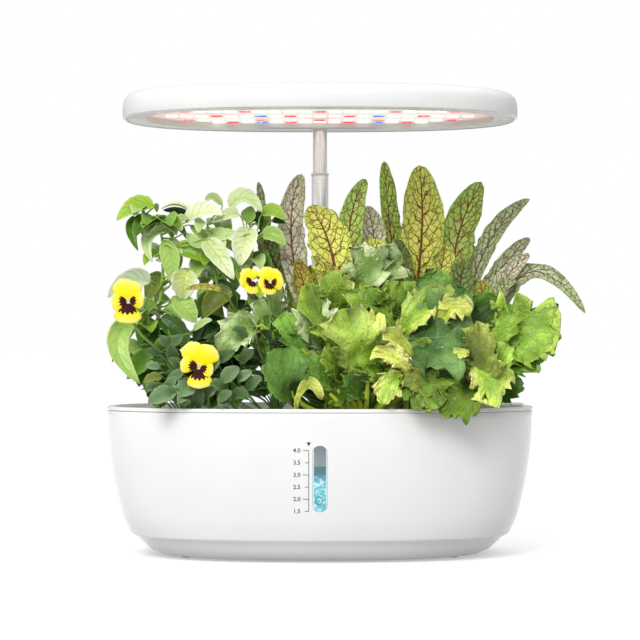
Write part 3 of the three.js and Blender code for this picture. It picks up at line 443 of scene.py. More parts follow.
@dataclass(frozen=True)
class LeafSkin:
    """Leaf surface: the mesh's own tint, crossed by a midrib, side veins and a net.

    The mesh's UV map runs along the leaf in U and across it in V, and its attributes "tint" and
    "vein" hold the two colours; the tint carries painted highlight and painted shade.
    """

    name: str
    midrib: float
    ribs: float
    rib: float
    sweep: float
    net: float
    net_width: float
    net_share: float
    puff: float
    roughness: float = 0.38
    speckle: float = 0.25
    vein_share: float = 1.0
    blister: float = 150.0

    def build(self) -> Material:
        """Make the material."""
        sheet = NodeSheet(self.name)
        uv = sheet.coordinates.outputs["UV"]
        spot = sheet.coordinates.outputs["Object"]
        along, over, _ = sheet.split(uv)
        wander = sheet.math("SUBTRACT", sheet.clouds(spot, 170.0, 2.0), 0.5)
        signed = sheet.math("MULTIPLY_ADD", over, 2.0, -1.0)
        across = sheet.math("ABSOLUTE", sheet.math("ADD", signed, sheet.math("MULTIPLY", wander, 0.05)))
        taper = sheet.math("MULTIPLY_ADD", along, -0.75, 1.0)
        middle = sheet.ramp(sheet.math("DIVIDE", across, taper), self.midrib, self.midrib * 0.35)
        side = sheet.math("GREATER_THAN", signed, 0.0)
        curve = sheet.math("POWER", across, 1.5)
        swept = sheet.math("MULTIPLY", curve, self.sweep)
        phase = sheet.math("SUBTRACT", sheet.math("MULTIPLY", along, self.ribs), swept)
        phase = sheet.math("ADD", phase, sheet.math("MULTIPLY", side, 0.43))
        phase = sheet.math("ADD", phase, sheet.math("MULTIPLY", wander, 0.9))
        swing = sheet.math("ABSOLUTE", sheet.math("SUBTRACT", sheet.math("FRACT", phase), 0.5))
        thin = sheet.math("MULTIPLY_ADD", across, self.rib * 0.6, 0.5 - self.rib)
        ribs = sheet.ramp(sheet.math("SUBTRACT", swing, thin), 0.0, self.rib * 0.6)
        threads = sheet.cells(sheet.stir(spot, 120.0, 0.003), self.net)
        threads = sheet.ramp(threads, self.net_width, self.net_width * 0.2)
        fine = sheet.math("MULTIPLY", threads, self.net_share)
        veins = sheet.math("MAXIMUM", sheet.math("MAXIMUM", middle, ribs), fine)
        patches = sheet.math("MULTIPLY", sheet.ramp(sheet.clouds(spot, 55.0, 3.0), 0.38, 0.66), self.speckle)
        shade = sheet.mix(patches, sheet.attribute("tint"), linear((150, 180, 110)), "MULTIPLY")
        share = sheet.math("MULTIPLY", veins, self.vein_share)
        colour = sheet.mix(share, shade, sheet.attribute("vein"))
        glossy, matt = self.roughness * 0.8, self.roughness * 1.35
        dapple = sheet.ramp(sheet.clouds(spot, 90.0), 0.3, 0.7, glossy, matt)
        sheet.surface(base_color=colour, roughness=dapple, specular_ior_level=0.35)
        swell = sheet.math("MULTIPLY", sheet.clouds(spot, self.blister, 3.0), 0.7)
        relief = sheet.math("SUBTRACT", swell, sheet.math("MULTIPLY", veins, 0.6))
        sheet.bump(relief, self.puff)
        return sheet.material


@dataclass(frozen=True)
class PetalSkin:
    """Pansy petal: yellow with fine lines, a maroon blotch by its throat and a cream claw.

    The mesh's tint holds the blotch's reach in red: 0 where the petal is plain.
    """

    name: str
    petal: Colour = (255, 236, 22)
    edge: Colour = (255, 248, 130)
    blotch: Colour = (58, 4, 10)
    throat: Colour = (250, 236, 190)

    def build(self) -> Material:
        """Make the material."""
        sheet = NodeSheet(self.name)
        uv = sheet.coordinates.outputs["UV"]
        along, over, _ = sheet.split(uv)
        spot = sheet.coordinates.outputs["Object"]
        reach, _, _ = sheet.split(sheet.attribute("tint"))
        signed = sheet.math("MULTIPLY_ADD", over, 2.0, -1.0)
        fingers = sheet.math("COSINE", sheet.math("MULTIPLY", signed, 17.0))
        scallop = sheet.math("MULTIPLY", fingers, 0.05)
        rounding = sheet.math("MULTIPLY", sheet.math("POWER", signed, 2.0), 0.22)
        limit = sheet.math("SUBTRACT", sheet.math("ADD", reach, scallop), rounding)
        gap = sheet.math("SUBTRACT", limit, along)
        dark = sheet.ramp(gap, -0.012, 0.02)
        dark = sheet.math("MULTIPLY", dark, sheet.math("GREATER_THAN", reach, 0.05))
        yellow = sheet.mix(sheet.ramp(along, 0.5, 1.0), linear(self.petal), linear(self.edge))
        lines = sheet.ramp(sheet.clouds(sheet.place(uv, (3, 60, 1)), 1.0), 0.4, 0.7)
        yellow = sheet.mix(sheet.math("MULTIPLY", lines, 0.25), yellow, linear((250, 214, 8)))
        colour = sheet.mix(dark, yellow, linear(self.blotch))
        claw = sheet.ramp(along, 0.11, 0.06)
        colour = sheet.mix(claw, colour, linear(self.throat))
        sheet.surface(base_color=colour, roughness=0.6, specular_ior_level=0.2)
        sheet.bump(sheet.math("ADD", lines, sheet.clouds(spot, 300.0)), 0.00008)
        return sheet.material


@dataclass(frozen=True)
class StalkSkin:
    """Stem or midrib: its tint streaked lengthways."""

    name: str
    streak: Colour

    def build(self) -> Material:
        """Make the material."""
        sheet = NodeSheet(self.name)
        spot = sheet.coordinates.outputs["Object"]
        streaks = sheet.ramp(sheet.clouds(sheet.place(spot, (900, 900, 60)), 1.0), 0.4, 0.7, 0.0, 0.5)
        colour = sheet.mix(streaks, sheet.attribute("tint"), linear(self.streak))
        sheet.surface(base_color=colour, roughness=0.4)
        sheet.bump(streaks, 0.0001)
        return sheet.material


class Finishes:
    """Every material of the garden, built once."""

    def __init__(self) -> None:
        """Build all of them."""
        self.white = Moulded("white_gloss", (247, 247, 246), (243, 243, 242), 0.16, coat=0.4).build()
        # painted shade: the same white gloss as the tub, made darker on the light head's shell so that the
        # brightly lit head isn't washed out
        self.head_white_shaded = Moulded("head_white_shaded", (234, 234, 233), (229, 229, 228), 0.2, coat=0.3).build()
        self.bezel = Moulded("bezel_white", (228, 228, 226), (220, 221, 220), 0.32).build()
        self.black = Moulded("black_plastic", (34, 35, 38), (24, 24, 27), 0.5, 0.00003).build()
        self.rubber = Moulded("rubber", (46, 46, 48), (36, 36, 38), 0.75, 0.00005, 500.0).build()
        self.sponge = Moulded("sponge", (44, 38, 32), (28, 24, 20), 0.95, 0.0006, 220.0).build()
        self.hose = Moulded("hose", (212, 220, 222), (196, 206, 210), 0.3).build()
        self.circuit = Moulded("circuit_board", (34, 92, 52), (28, 78, 44), 0.4).build()
        self.ink = Moulded("printed_ink", (38, 38, 40), (30, 30, 32), 0.5).build()
        self.steel = BrushedSteel("steel", (236, 237, 239)).build()
        self.board = LitBoard("led_board").build()
        self.window = WaterWindow("clear_window").build()
        basil = LeafSkin(
            "basil_leaf", midrib=0.05, ribs=6.0, rib=0.05, sweep=1.5, net=260.0, net_width=0.05,
            net_share=0.0, puff=0.0009, roughness=0.28, speckle=0.15, vein_share=0.45, blister=130.0,
        )
        pansy = LeafSkin(
            "pansy_leaf", midrib=0.07, ribs=5.0, rib=0.05, sweep=1.2, net=300.0, net_width=0.05,
            net_share=0.12, puff=0.0004, roughness=0.5, speckle=0.3, vein_share=0.4,
        )
        sorrel = LeafSkin(
            "sorrel_leaf", midrib=0.13, ribs=9.0, rib=0.12, sweep=2.2, net=170.0, net_width=0.08,
            net_share=0.7, puff=0.0008, roughness=0.42, speckle=0.1, vein_share=0.95, blister=160.0,
        )
        lettuce = LeafSkin(
            "lettuce_leaf", midrib=0.05, ribs=7.0, rib=0.05, sweep=2.4, net=150.0, net_width=0.07,
            net_share=0.3, puff=0.0018, roughness=0.32, speckle=0.2, vein_share=0.5, blister=260.0,
        )
        kinds = {"BASIL": basil, "PANSY": pansy, "SORREL": sorrel, "LETTUCE": lettuce}
        self.leaves = {kind: skin.build() for kind, skin in kinds.items()}
        self.petal = PetalSkin("pansy_petal").build()
        self.stalk = StalkSkin("plant_stalk", (120, 150, 70)).build()
        self.lamps = {
            "white": Glow("white_lamp", (255, 246, 226), 1.1).build(),
            "red": Glow("red_lamp", (226, 62, 92), 0.75).build(),
            "blue": Glow("blue_lamp", (70, 96, 220), 0.8).build(),
            "orange": Glow("orange_lamp", (226, 132, 70), 0.7).build(),
        }


# Modelling helpers


def deselect() -> None:
    """Leave nothing selected, in object mode."""
    if bpy.context.mode != "OBJECT":
        bpy.ops.object.mode_set(mode="OBJECT")
    bpy.ops.object.select_all(action="DESELECT")


def pick(piece: Object) -> None:
    """Make a piece the only selected object, and the active one.

    Args:
        piece: The object.
    """
    deselect()
    piece.select_set(True)
    bpy.context.view_layer.objects.active = piece


def settle(piece: Object) -> Object:
    """Put a piece's place, turn and size into its mesh.

    Args:
        piece: The object, which becomes the active one.

    Returns:
        The same object.
    """
    pick(piece)
    bpy.ops.object.transform_apply(location=True, rotation=True, scale=True)
    return piece


def block(low: Point, high: Point, rounding: float = 0.0, segments: int = 3) -> Object:
    """Add a box between two corners, with rounded edges.

    Args:
        low: Lowest corner.
        high: Highest corner.
        rounding: Radius of its edges.
        segments: Steps of each rounded edge.

    Returns:
        The new object.
    """
    deselect()
    middle = [(a + b) / 2 * MM for a, b in zip(low, high)]
    size = [(b - a) * MM for a, b in zip(low, high)]
    bpy.ops.mesh.primitive_cube_add(size=1, location=middle, scale=size)
    made = settle(bpy.context.object)
    if rounding:
        soften(made, rounding, segments)
    return made


def rod(centre: Point, radius: float, length: float, axis: str = "Z", sides: int = 40) -> Object:
    """Add a round rod.

    Args:
        centre: Its middle.
        radius: Its radius.
        length: Its length.
        axis: X, Y or Z.
        sides: Facets round it.

    Returns:
        The new object.
    """
    deselect()
    turn = {"X": (0, math.pi / 2, 0), "Y": (math.pi / 2, 0, 0), "Z": (0, 0, 0)}[axis]
    place = [part * MM for part in centre]
    bpy.ops.mesh.primitive_cylinder_add(
        vertices=sides, radius=radius * MM, depth=length * MM, location=place, rotation=turn
    )
    return settle(bpy.context.object)


def apply_modifier(piece: Object, kind: str, **settings: object) -> None:
    """Run one modifier on a piece and keep its result.

    Args:
        piece: The object.
        kind: Blender's name of the modifier.
        settings: The modifier's settings.
    """
    pick(piece)
    modifier = piece.modifiers.new(kind.lower(), kind)
    for name, value in settings.items():
        setattr(modifier, name, value)
    bpy.ops.object.modifier_apply(modifier=modifier.name)


def soften(piece: Object, rounding: float, segments: int = 3) -> None:
    """Round a piece's sharp edges.

    Args:
        piece: The object.
        rounding: Radius of the edges.
        segments: Steps of each edge.
    """
    sharp = {"limit_method": "ANGLE", "angle_limit": BEVEL_ANGLE}
    apply_modifier(piece, "BEVEL", width=rounding * MM, segments=segments, **sharp)


def carve(piece: Object, tool: Object, operation: str = "DIFFERENCE") -> None:
    """Cut a piece with a tool, or join or cross them, and throw the tool away.

    Args:
        piece: The object that stays.
        tool: The object that is used up.
        operation: DIFFERENCE, UNION or INTERSECT.
    """
    apply_modifier(piece, "BOOLEAN", object=tool, operation=operation, solver="EXACT")
    bpy.data.objects.remove(tool)


def smooth(piece: Object) -> Object:
    """Shade a piece smooth but for its sharp edges.

    Args:
        piece: The object.

    Returns:
        The same object.
    """
    pick(piece)
    bpy.ops.object.shade_smooth_by_angle(angle=SMOOTH_ANGLE)
    return piece


def face_outward(piece: Object) -> None:
    """Turn every face of a closed piece outward.

    Args:
        piece: The object.
    """
    pick(piece)
    bpy.ops.object.mode_set(mode="EDIT")
    bpy.ops.mesh.select_all(action="SELECT")
    bpy.ops.mesh.normals_make_consistent(inside=False)
    bpy.ops.object.mode_set(mode="OBJECT")


def slice_levels(piece: Object, low: int, high: int) -> None:
    """Add level cuts to a piece, so that it can follow a curved wall.

    Args:
        piece: The object.
        low: Height of the first cut.
        high: Height that the cuts stay under.
    """
    pick(piece)
    bpy.ops.object.mode_set(mode="EDIT")
    for height in range(low, high, LEVEL_STEP):
        bpy.ops.mesh.select_all(action="SELECT")
        bpy.ops.mesh.bisect(plane_co=(0, 0, height * MM), plane_no=(0, 0, 1))
    bpy.ops.object.mode_set(mode="OBJECT")


def climb(rows: list[Row], centre: tuple[float, float] = (0.0, 0.0), sides: int = 0) -> Object:
    """Extrude a filled outline through a stack of rows.

    Args:
        rows: Half width, half depth and height of each row, the first being the start.
        centre: X and Y of the outline's middle.
        sides: Facets of a round outline, or 0 for the garden's rounded plan.

    Returns:
        A closed object whose last row is its closing face.
    """
    deselect()
    power = 1.0 if sides else 2 / ROUNDNESS
    half_x, half_y, height = rows[0]
    bpy.ops.mesh.primitive_circle_add(vertices=sides or PLAN_SIDES, radius=1.0, fill_type="NGON")
    made = bpy.context.object
    for vertex in made.data.vertices:
        angle = math.atan2(vertex.co.y, vertex.co.x)
        reach_x = math.copysign(abs(math.cos(angle)) ** power, math.cos(angle))
        reach_y = math.copysign(abs(math.sin(angle)) ** power, math.sin(angle))
        vertex.co = (half_x * reach_x * MM, half_y * reach_y * MM, height * MM)
    bpy.ops.object.mode_set(mode="EDIT")
    bpy.ops.mesh.select_all(action="SELECT")
    for (wide, deep, low), (next_wide, next_deep, high) in zip(rows, rows[1:]):
        bpy.ops.mesh.extrude_region_move(TRANSFORM_OT_translate={"value": (0, 0, (high - low) * MM)})
        ratio = (next_wide / wide, next_deep / deep, 1)
        bpy.ops.transform.resize(value=ratio, center_override=(0, 0, 0))
    bpy.ops.object.mode_set(mode="OBJECT")
    face_outward(made)
    made.location = (centre[0] * MM, centre[1] * MM, 0)
    return settle(made)


def turned(rows: list[tuple[float, float]], centre: tuple[float, float], sides: int = 40) -> Object:
    """Turn a profile of radii and heights about an upright axis."""
    return climb([(radius, radius, height) for radius, height in rows], centre, sides)


def merge(pieces: list[Object]) -> Object:
    """Join objects into the first of them.

    Args:
        pieces: Objects to join.

    Returns:
        The joined object.
    """
    deselect()
    for piece in pieces:
        piece.select_set(True)
    bpy.context.view_layer.objects.active = pieces[0]
    if len(pieces) > 1:
        bpy.ops.object.join()
    return pieces[0]


def duplicate(piece: Object, shift: Point) -> Object:
    """Copy an object with its own mesh and move the copy.

    Args:
        piece: The object to copy.
        shift: How far the copy goes.

    Returns:
        The copy.
    """
    copy = piece.copy()
    copy.data = piece.data.copy()
    bpy.context.collection.objects.link(copy)
    copy.location = [part * MM for part in shift]
    return settle(copy)


def mount(piece: Object, name: str, finish: Material, body: Body, slot: str, *replaced: str) -> None:
    """Name a finished piece, dress it and fix it to its body.

    Args:
        piece: The object.
        name: Its name.
        finish: Its material.
        body: The body that carries it.
        slot: The record's material slot; not used.
        replaced: CAD nodes that it stands for.
    """
    piece.name = name
    piece.data.name = name
    piece.data.materials.clear()
    piece.data.materials.append(finish)
    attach(piece, body.value)
    if replaced:
        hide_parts(*replaced)
    log.info("%s rides on %s with %d faces", name, body.value, len(piece.data.polygons))


def dress(nodes: list[str], finish: Material) -> None:
    """Give CAD nodes that stay as they are a better material.

    Args:
        nodes: Their names.
        finish: The material.
    """
    for node in nodes:
        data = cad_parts[node].data
        for index in range(len(data.materials)):
            data.materials[index] = finish
        if not data.materials:
            data.materials.append(finish)
        log.info("%s keeps its shape", node)


# The photograph's viewpoint and the tub's own curve


@dataclass(frozen=True)
class Viewpoint:
    """Where the photograph was taken from, and what one of its pixels is worth."""

    distance: float = 1640.0
    eye_z: float = 172.0
    pixel: float = 0.8274
    middle_x: float = 320.0
    horizon_y: float = 345.0
    lens: float = 111.4
    sensor: float = 36.0
    far: float = 100.0
    tilt: float = math.radians(0.72)

    def spot(self, place: Point) -> Vector:
        """Find the frame point that the photograph shows at a pixel.

        Args:
            place: Pixel across, pixel down and the depth that the point is taken to have.

        Returns:
            The point in millimetres.
        """
        across, down, depth = place
        size = self.pixel * (1 + depth / self.distance)
        height = self.eye_z - (down - self.horizon_y) * size
        return Vector(((across - self.middle_x) * size, depth, height))

    def camera(self) -> None:
        """Add the camera."""
        deselect()
        bpy.ops.object.camera_add(
            location=(0, -self.distance * MM, self.eye_z * MM), rotation=(math.pi / 2 + self.tilt, 0, 0)
        )
        camera = bpy.context.object
        camera.data.lens = self.lens
        camera.data.sensor_width = self.sensor
        camera.data.clip_end = self.far
        bpy.context.scene.camera = camera


PHOTO = Viewpoint()


def rounded(rows: list[tuple[float, float]], steps: int) -> list[tuple[float, float]]:
    """Run a smooth curve through a stack of half widths and heights.

    Args:
        rows: Half width and height of each row.
        steps: New rows for each old one.

    Returns:
        The finer stack.
    """
    padded = [rows[0], *rows, rows[-1]]
    fine = []
    for before, start, end, after in zip(padded, padded[1:], padded[2:], padded[3:]):
        for step in range(steps):
            t = step / steps
            row = []
            for a, b, c, d in zip(before, start, end, after):
                square = (2 * a - 5 * b + 4 * c - d) * t**2
                cube = (3 * b - a - 3 * c + d) * t**3
                row.append(0.5 * (2 * b + (c - a) * t + square + cube))
            fine.append(tuple(row))
    return [*fine, rows[-1]]


@dataclass
class Assembly:
    """A part of the garden that is built and dressed in its finishes."""

    skins: Finishes


@dataclass
class Tub(Assembly):
    """Water tub with its level window, scale and feet."""

    ratio: float = 200 / 350
    window_half: float = 5.8
    window_bottom: float = 41.7
    window_top: float = 93.4
    scale_x: float = -8.8
    full_z: float = 89.8
    step_z: float = 9.52
    long_tick: float = 4.7
    short_tick: float = 3.0
    mark_gap: float = 5.4
    mark_size: float = 2.0
    mark_thick: float = 0.17
    number_size: float = 4.7
    number_gap: float = 6.4
    print_proud: float = 0.03
    foot_x: float = 106.0
    foot_y: float = 30.0
    foot_radius: float = 6.0
    base: tuple = ((123, 1.2), (132.5, 2.6), (140, 6), (145.5, 10.9), (149.6, 15), (152, 16.6))
    wall: tuple = (
        (155.6, 18.5), (158.4, 24), (162.5, 34), (167.5, 53), (171.3, 73), (173.8, 93), (174.9, 117.6)
    )
    rim: tuple = ((174.6, 118.4), (173.9, 118.7), (172.2, 118.7), (171.5, 118.2))
    inside: tuple = ((170.3, 93), (165.7, 62), (158.5, 34), (149, 18), (137, 8.2), (118, 4.2))

    def outside(self) -> list[tuple[float, float]]:
        """Give the rows of the outer wall, from the base to the rim."""
        return [*self.base, *rounded(list(self.wall), 4)]

    def front(self, x: float, z: float) -> float:
        """Find where the front wall stands.

        Args:
            x: Place across.
            z: Height.

        Returns:
            Its Y.
        """
        rows = self.outside()
        half = rows[-1][0]
        for (low_half, low), (high_half, high) in zip(rows, rows[1:]):
            if low <= z <= high:
                half = low_half + (high_half - low_half) * (z - low) / (high - low)
                break
        return -half * self.ratio * (1 - abs(x / half) ** ROUNDNESS) ** (1 / ROUNDNESS)

    def wrap(self, piece: Object, proud: float) -> Object:
        """Lay a flat piece, drawn at Y of 0, on the front wall.

        Args:
            piece: The object, in metres.
            proud: How far its Y of 0 stands in front of the wall.

        Returns:
            The same object.
        """
        for vertex in piece.data.vertices:
            spot = vertex.co
            spot.y += (self.front(spot.x / MM, spot.z / MM) - proud) * MM
        return piece

    def stadium(self, grow: float, front: float, back: float) -> Object:
        """Make an upright bar with round ends, as the window's slot has.

        Args:
            grow: What is added all round.
            front: Its lowest Y.
            back: Its highest Y.

        Returns:
            The new object.
        """
        half = self.window_half + grow
        low, high = self.window_bottom + self.window_half, self.window_top - self.window_half
        middle = (front + back) / 2
        bar = block((-half, front, low), (half, back, high))
        for height in (low, high):
            carve(bar, rod((0, middle, height), half, back - front, "Y", 48), "UNION")
        return bar

    def shell(self) -> Object:
        """Build the tub's wall, closed over its rim, with the window's slot."""
        rows = [(half, half * self.ratio, z) for half, z in [*self.outside(), *self.rim, *self.inside]]
        made = climb(rows)
        carve(made, self.stadium(0.15, -104, -80))
        return smooth(made)

    def lens(self) -> Object:
        """Build the window's lens, curved as the wall is."""
        made = self.stadium(0.0, -1.2, 2.4)
        soften(made, 0.5, 3)
        slice_levels(made, round(self.window_bottom) + 2, round(self.window_top))
        return smooth(self.wrap(made, -1.1))

    def scale(self) -> Object:
        """Print the level scale: a line, ticks, plain numbers and a mark for the highest level."""
        top, bottom = self.full_z, self.full_z - 5 * self.step_z
        thin, proud, sunk = 0.22, 0.12, 0.05
        parts = [block((self.scale_x - thin, -proud, bottom), (self.scale_x + thin, sunk, top))]
        for step in range(6):
            height = top - step * self.step_z
            whole = step % 2 == 0
            left = self.scale_x - (self.long_tick if whole else self.short_tick)
            parts.append(block((left, -proud, height - thin), (self.scale_x, sunk, height + thin)))
            parts.append(self.number(f"{4.0 - step / 2:.1f}", height))
        parts.append(self.mark(top + self.mark_gap))
        printed = merge(parts)
        slice_levels(printed, 40, 100)
        return self.wrap(printed, 0.0)

    def mark(self, height: float) -> Object:
        """Build the small triangle that points down at the highest level.

        Args:
            height: Height of its middle.

        Returns:
            The new object, flat at Y of 0.
        """
        size, thick = self.mark_size * MM, self.mark_thick * MM
        deselect()
        bpy.ops.mesh.primitive_cone_add(
            vertices=3, radius1=size, depth=thick, radius2=size, rotation=(math.pi / 2, 0, 0)
        )
        made = settle(bpy.context.object)
        for vertex in made.data.vertices:
            vertex.co += Vector((self.scale_x * MM, -self.print_proud * MM, height * MM))
            vertex.co.z = (2 * height * MM) - vertex.co.z
        face_outward(made)
        return made

    def number(self, word: str, height: float) -> Object:
        """Print one number of the scale beside its tick.

        Args:
            word: The number.
            height: Height of its middle.

        Returns:
            The new object, flat at Y of 0.
        """
        deselect()
        bpy.ops.object.text_add(rotation=(math.pi / 2, 0, 0))
        text = bpy.context.object
        text.data.body = word
        text.data.size = self.number_size * MM
        text.data.offset = 0.05 * MM
        text.data.resolution_u = 3
        text.data.extrude = 0.08 * MM
        text.data.align_x = "RIGHT"
        text.data.align_y = "CENTER"
        place = (self.scale_x - self.number_gap, -self.print_proud, height)
        text.location = [part * MM for part in place]
        bpy.ops.object.convert(target="MESH")
        return settle(bpy.context.object)

    def foot(self) -> Object:
        """Build one rubber foot with a soft edge."""
        foot = rod((self.foot_x, self.foot_y, 1.2), self.foot_radius, 2.4, sides=32)
        soften(foot, 0.5)
        return smooth(foot)

    def build(self) -> None:
        """Make every piece of the tub."""
        skins = self.skins
        mount(self.shell(), "tub_body", skins.white, Body.TUB, "white_gloss", "tub_shell")
        mount(self.lens(), "window_lens", skins.window, Body.TUB, "clear_window", "level_window")
        mount(self.scale(), "level_scale", skins.ink, Body.TUB, "black_plastic")
        first = self.foot()
        for index, (x, y) in enumerate(((0, 0), (-2, 0), (0, -2), (-2, -2))):
            copy = duplicate(first, (x * self.foot_x, y * self.foot_y, 0))
            mount(copy, f"rubber_foot_{index + 1}", skins.rubber, Body.TUB, "rubber", f"foot_{index + 1}")
        bpy.data.objects.remove(first)
        dress(["window_seal"], skins.rubber)


PODS = {
    "pansy_1": (-105, -52),
    "pansy_2": (-35, -52),
    "lettuce_1": (35, -52),
    "lettuce_2": (105, -52),
    "basil_1": (-134, 4),
    "basil_2": (-70, 4),
    "sorrel_1": (0, 4),
    "lettuce_3": (70, 4),
    "basil_3": (-95, 60),
    "sorrel_2": (95, 60),
}


@dataclass
class Deck(Assembly):
    """Planting deck with its baskets, plugs, fill lid and post socket."""

    half: float = 175.0
    edge: float = 75.0
    hole: float = 17.3
    port: tuple = (130.0, 160.0, -20.0, 18.0)
    lid: tuple = (124.0, 168.3, -28.0, 22.0)
    hinge_y: float = 27.0
    hinge_z: float = 121.0
    knuckle: float = 2.8
    pin_hole: float = 1.5
    lugs: tuple = ((128, 133.4), (158.6, 164))
    lid_knuckle: tuple = (133.8, 158.2)
    post_y: float = 77.0
    post_hole: float = 7.6
    inlet_z: float = 128.65
    slots: int = 8

    def slab(self) -> Object:
        """Build the deck plate, its skirt and its flange on the rim."""
        rows = [(168, 109), (168, 104), (170.5, 104), (170.5, 118.95), (174.6, 119.0), (175, 119.5)]
        rows += [(175, 121.2), (174.7, 121.8), (174, 122), (169.7, 122), (169.1, 121.8), (168.9, 121.2)]
        rows += [(168.9, 113.2), (168.5, 112.3), (167.7, 112)]
        made = climb([(half, half - self.edge, z) for half, z in rows])
        left, right, front, back = self.port
        carve(made, block((left - 2, front - 2, 111), (right + 2, back + 2, 120.7), 0.7), "UNION")
        near, far = self.hinge_y - self.knuckle, self.hinge_y + self.knuckle
        for start, end in self.lugs:
            axis = ((start + end) / 2, self.hinge_y, self.hinge_z)
            lug = block((start, near, 111), (end, far, self.hinge_z))
            carve(lug, rod(axis, self.knuckle, end - start, "X"), "UNION")
            carve(lug, rod(axis, self.pin_hole, end - start + 2, "X"))
            carve(made, lug, "UNION")
        carve(made, block((left, front, 100), (right, back, 124)))
        carve(made, rod((0, self.post_y, 110), self.post_hole, 20))
        for x, y in PODS.values():
            carve(made, rod((x, y, 110), self.hole, 20, sides=64))
        return smooth(made)

    def basket(self) -> Object:
        """Build a net basket at the origin: a flanged cup with slots in its wall and floor."""
        top = 113.8
        rows = [(10.8, 64), (11.6, 64.4), (16.4, 112), (16.6, 112.3), (19.6, 112.3), (20, 112.7)]
        rows += [(20, 113.4), (19.5, top), (15.6, top), (15.1, 113.3), (14.8, 112)]
        rows += [(10.6, 66.2), (9.8, 65.6)]
        made = turned(rows, (0, 0), 48)
        for turn in range(self.slots):
            angle = turn * math.pi / self.slots
            slot = block((-22, -1.5, 70), (22, 1.5, 84), 0.7, 2)
            upper = duplicate(slot, (0, 0, 18))
            for cutter in (slot, upper):
                cutter.rotation_euler = (0, 0, angle)
                carve(made, settle(cutter))
        for x in (-6, 0, 6):
            carve(made, block((x - 1.2, -6, 60), (x + 1.2, 6, 70), 0.5, 2))
        return smooth(made)

    def plug(self) -> Object:
        """Build a foam grow plug at the origin, with the hole its plant comes out of."""
        rows = [(9.6, 66.4), (10.1, 67), (13.7, 109.4), (13.2, 110.7), (12, 111.4), (3.4, 111.2)]
        return smooth(turned([*rows, (2.8, 106)], (0, 0), 40))

    def fill_lid(self) -> Object:
        """Build the fill lid: a thin plate with a finger lip, an arm out to the hinge and one knuckle with a
        pin hole.
        """
        left, right, front, back = self.lid
        low, high = self.hinge_z, self.hinge_z + 3
        made = climb([(right, right - self.edge, low), (right, right - self.edge, high)])
        carve(made, block((left, front, low - 1), (right + 9, back, high + 1)), "INTERSECT")
        soften(made, 0.7, 4)
        grip = block((left + 12, front - 5, low + 2.2), (right - 12, front + 3, low + 6), 0.9)
        carve(made, grip)
        carve(made, block((134, back - 3, low + 0.2), (158, self.hinge_y, low + 2.2)), "UNION")
        start, end = self.lid_knuckle
        axis = ((start + end) / 2, self.hinge_y, self.hinge_z)
        carve(made, rod(axis, self.knuckle, end - start, "X", 40), "UNION")
        carve(made, rod(axis, self.pin_hole, 40, "X", 32))
        return smooth(made)

    def socket(self) -> Object:
        """Build the boss that holds the post."""
        rows = [(15.9, 112.3), (16.2, 112.6), (16.2, 113.6), (15.8, 114.2), (12.4, 116.4), (11.4, 119)]
        rows += [(10.6, 135.4), (10.3, 136.3), (9.5, 136.9), (8.9, 137)]
        made = turned(rows, (0, self.post_y), 64)
        carve(made, block((-7.4, self.post_y, 112.3), (7.4, 93.2, 135.5), 0.8), "UNION")
        carve(made, rod((0, self.post_y, 125), self.post_hole, 40, sides=64))
        carve(made, block((-5.2, 86.4, 123.7), (5.2, 95, 133.6)))
        return smooth(made)

    def inlet(self) -> Object:
        """Build the power inlet: a black block with a round hole and its pin."""
        made = block((-4.9, 86.7, 124), (4.9, 93.6, 133.3), 0.5)
        carve(made, rod((0, 91.5, self.inlet_z), 2.9, 7, "Y", 32))
        carve(made, rod((0, 90.2, self.inlet_z), 0.9, 5.4, "Y", 24), "UNION")
        return smooth(made)

    def build(self) -> None:
        """Make every piece of the deck but its plants."""
        skins = self.skins
        mount(self.slab(), "planting_deck", skins.white, Body.DECK, "white_gloss", "deck")
        basket, plug = self.basket(), self.plug()
        for index, (plant, (x, y)) in enumerate(PODS.items()):
            cup = duplicate(basket, (x, y, 0))
            node = f"basket_{index + 1}"
            mount(cup, f"net_{node}", skins.white, Body.DECK, "white_gloss", node)
            foam = duplicate(plug, (x, y, 0))
            mount(foam, f"grow_plug_{plant}", skins.sponge, Body.DECK, "sponge")
        bpy.data.objects.remove(basket)
        bpy.data.objects.remove(plug)
        mount(self.fill_lid(), "fill_lid_plate", skins.white, Body.FILL_LID, "white_gloss", "fill_lid")
        mount(self.socket(), "post_boss", skins.white, Body.DECK, "white_gloss", "post_socket")
        mount(self.inlet(), "power_inlet", skins.black, Body.DECK, "black_plastic", "dc_inlet")
        dress(["pump_housing", "pump_cover", "pump_lead"], skins.black)
        dress(["impeller"], skins.white)
        dress(["impeller_shaft", "fill_lid_pin"], skins.steel)
        dress(["pump_filter"], skins.sponge)
        dress(["pump_hose"], skins.hose)


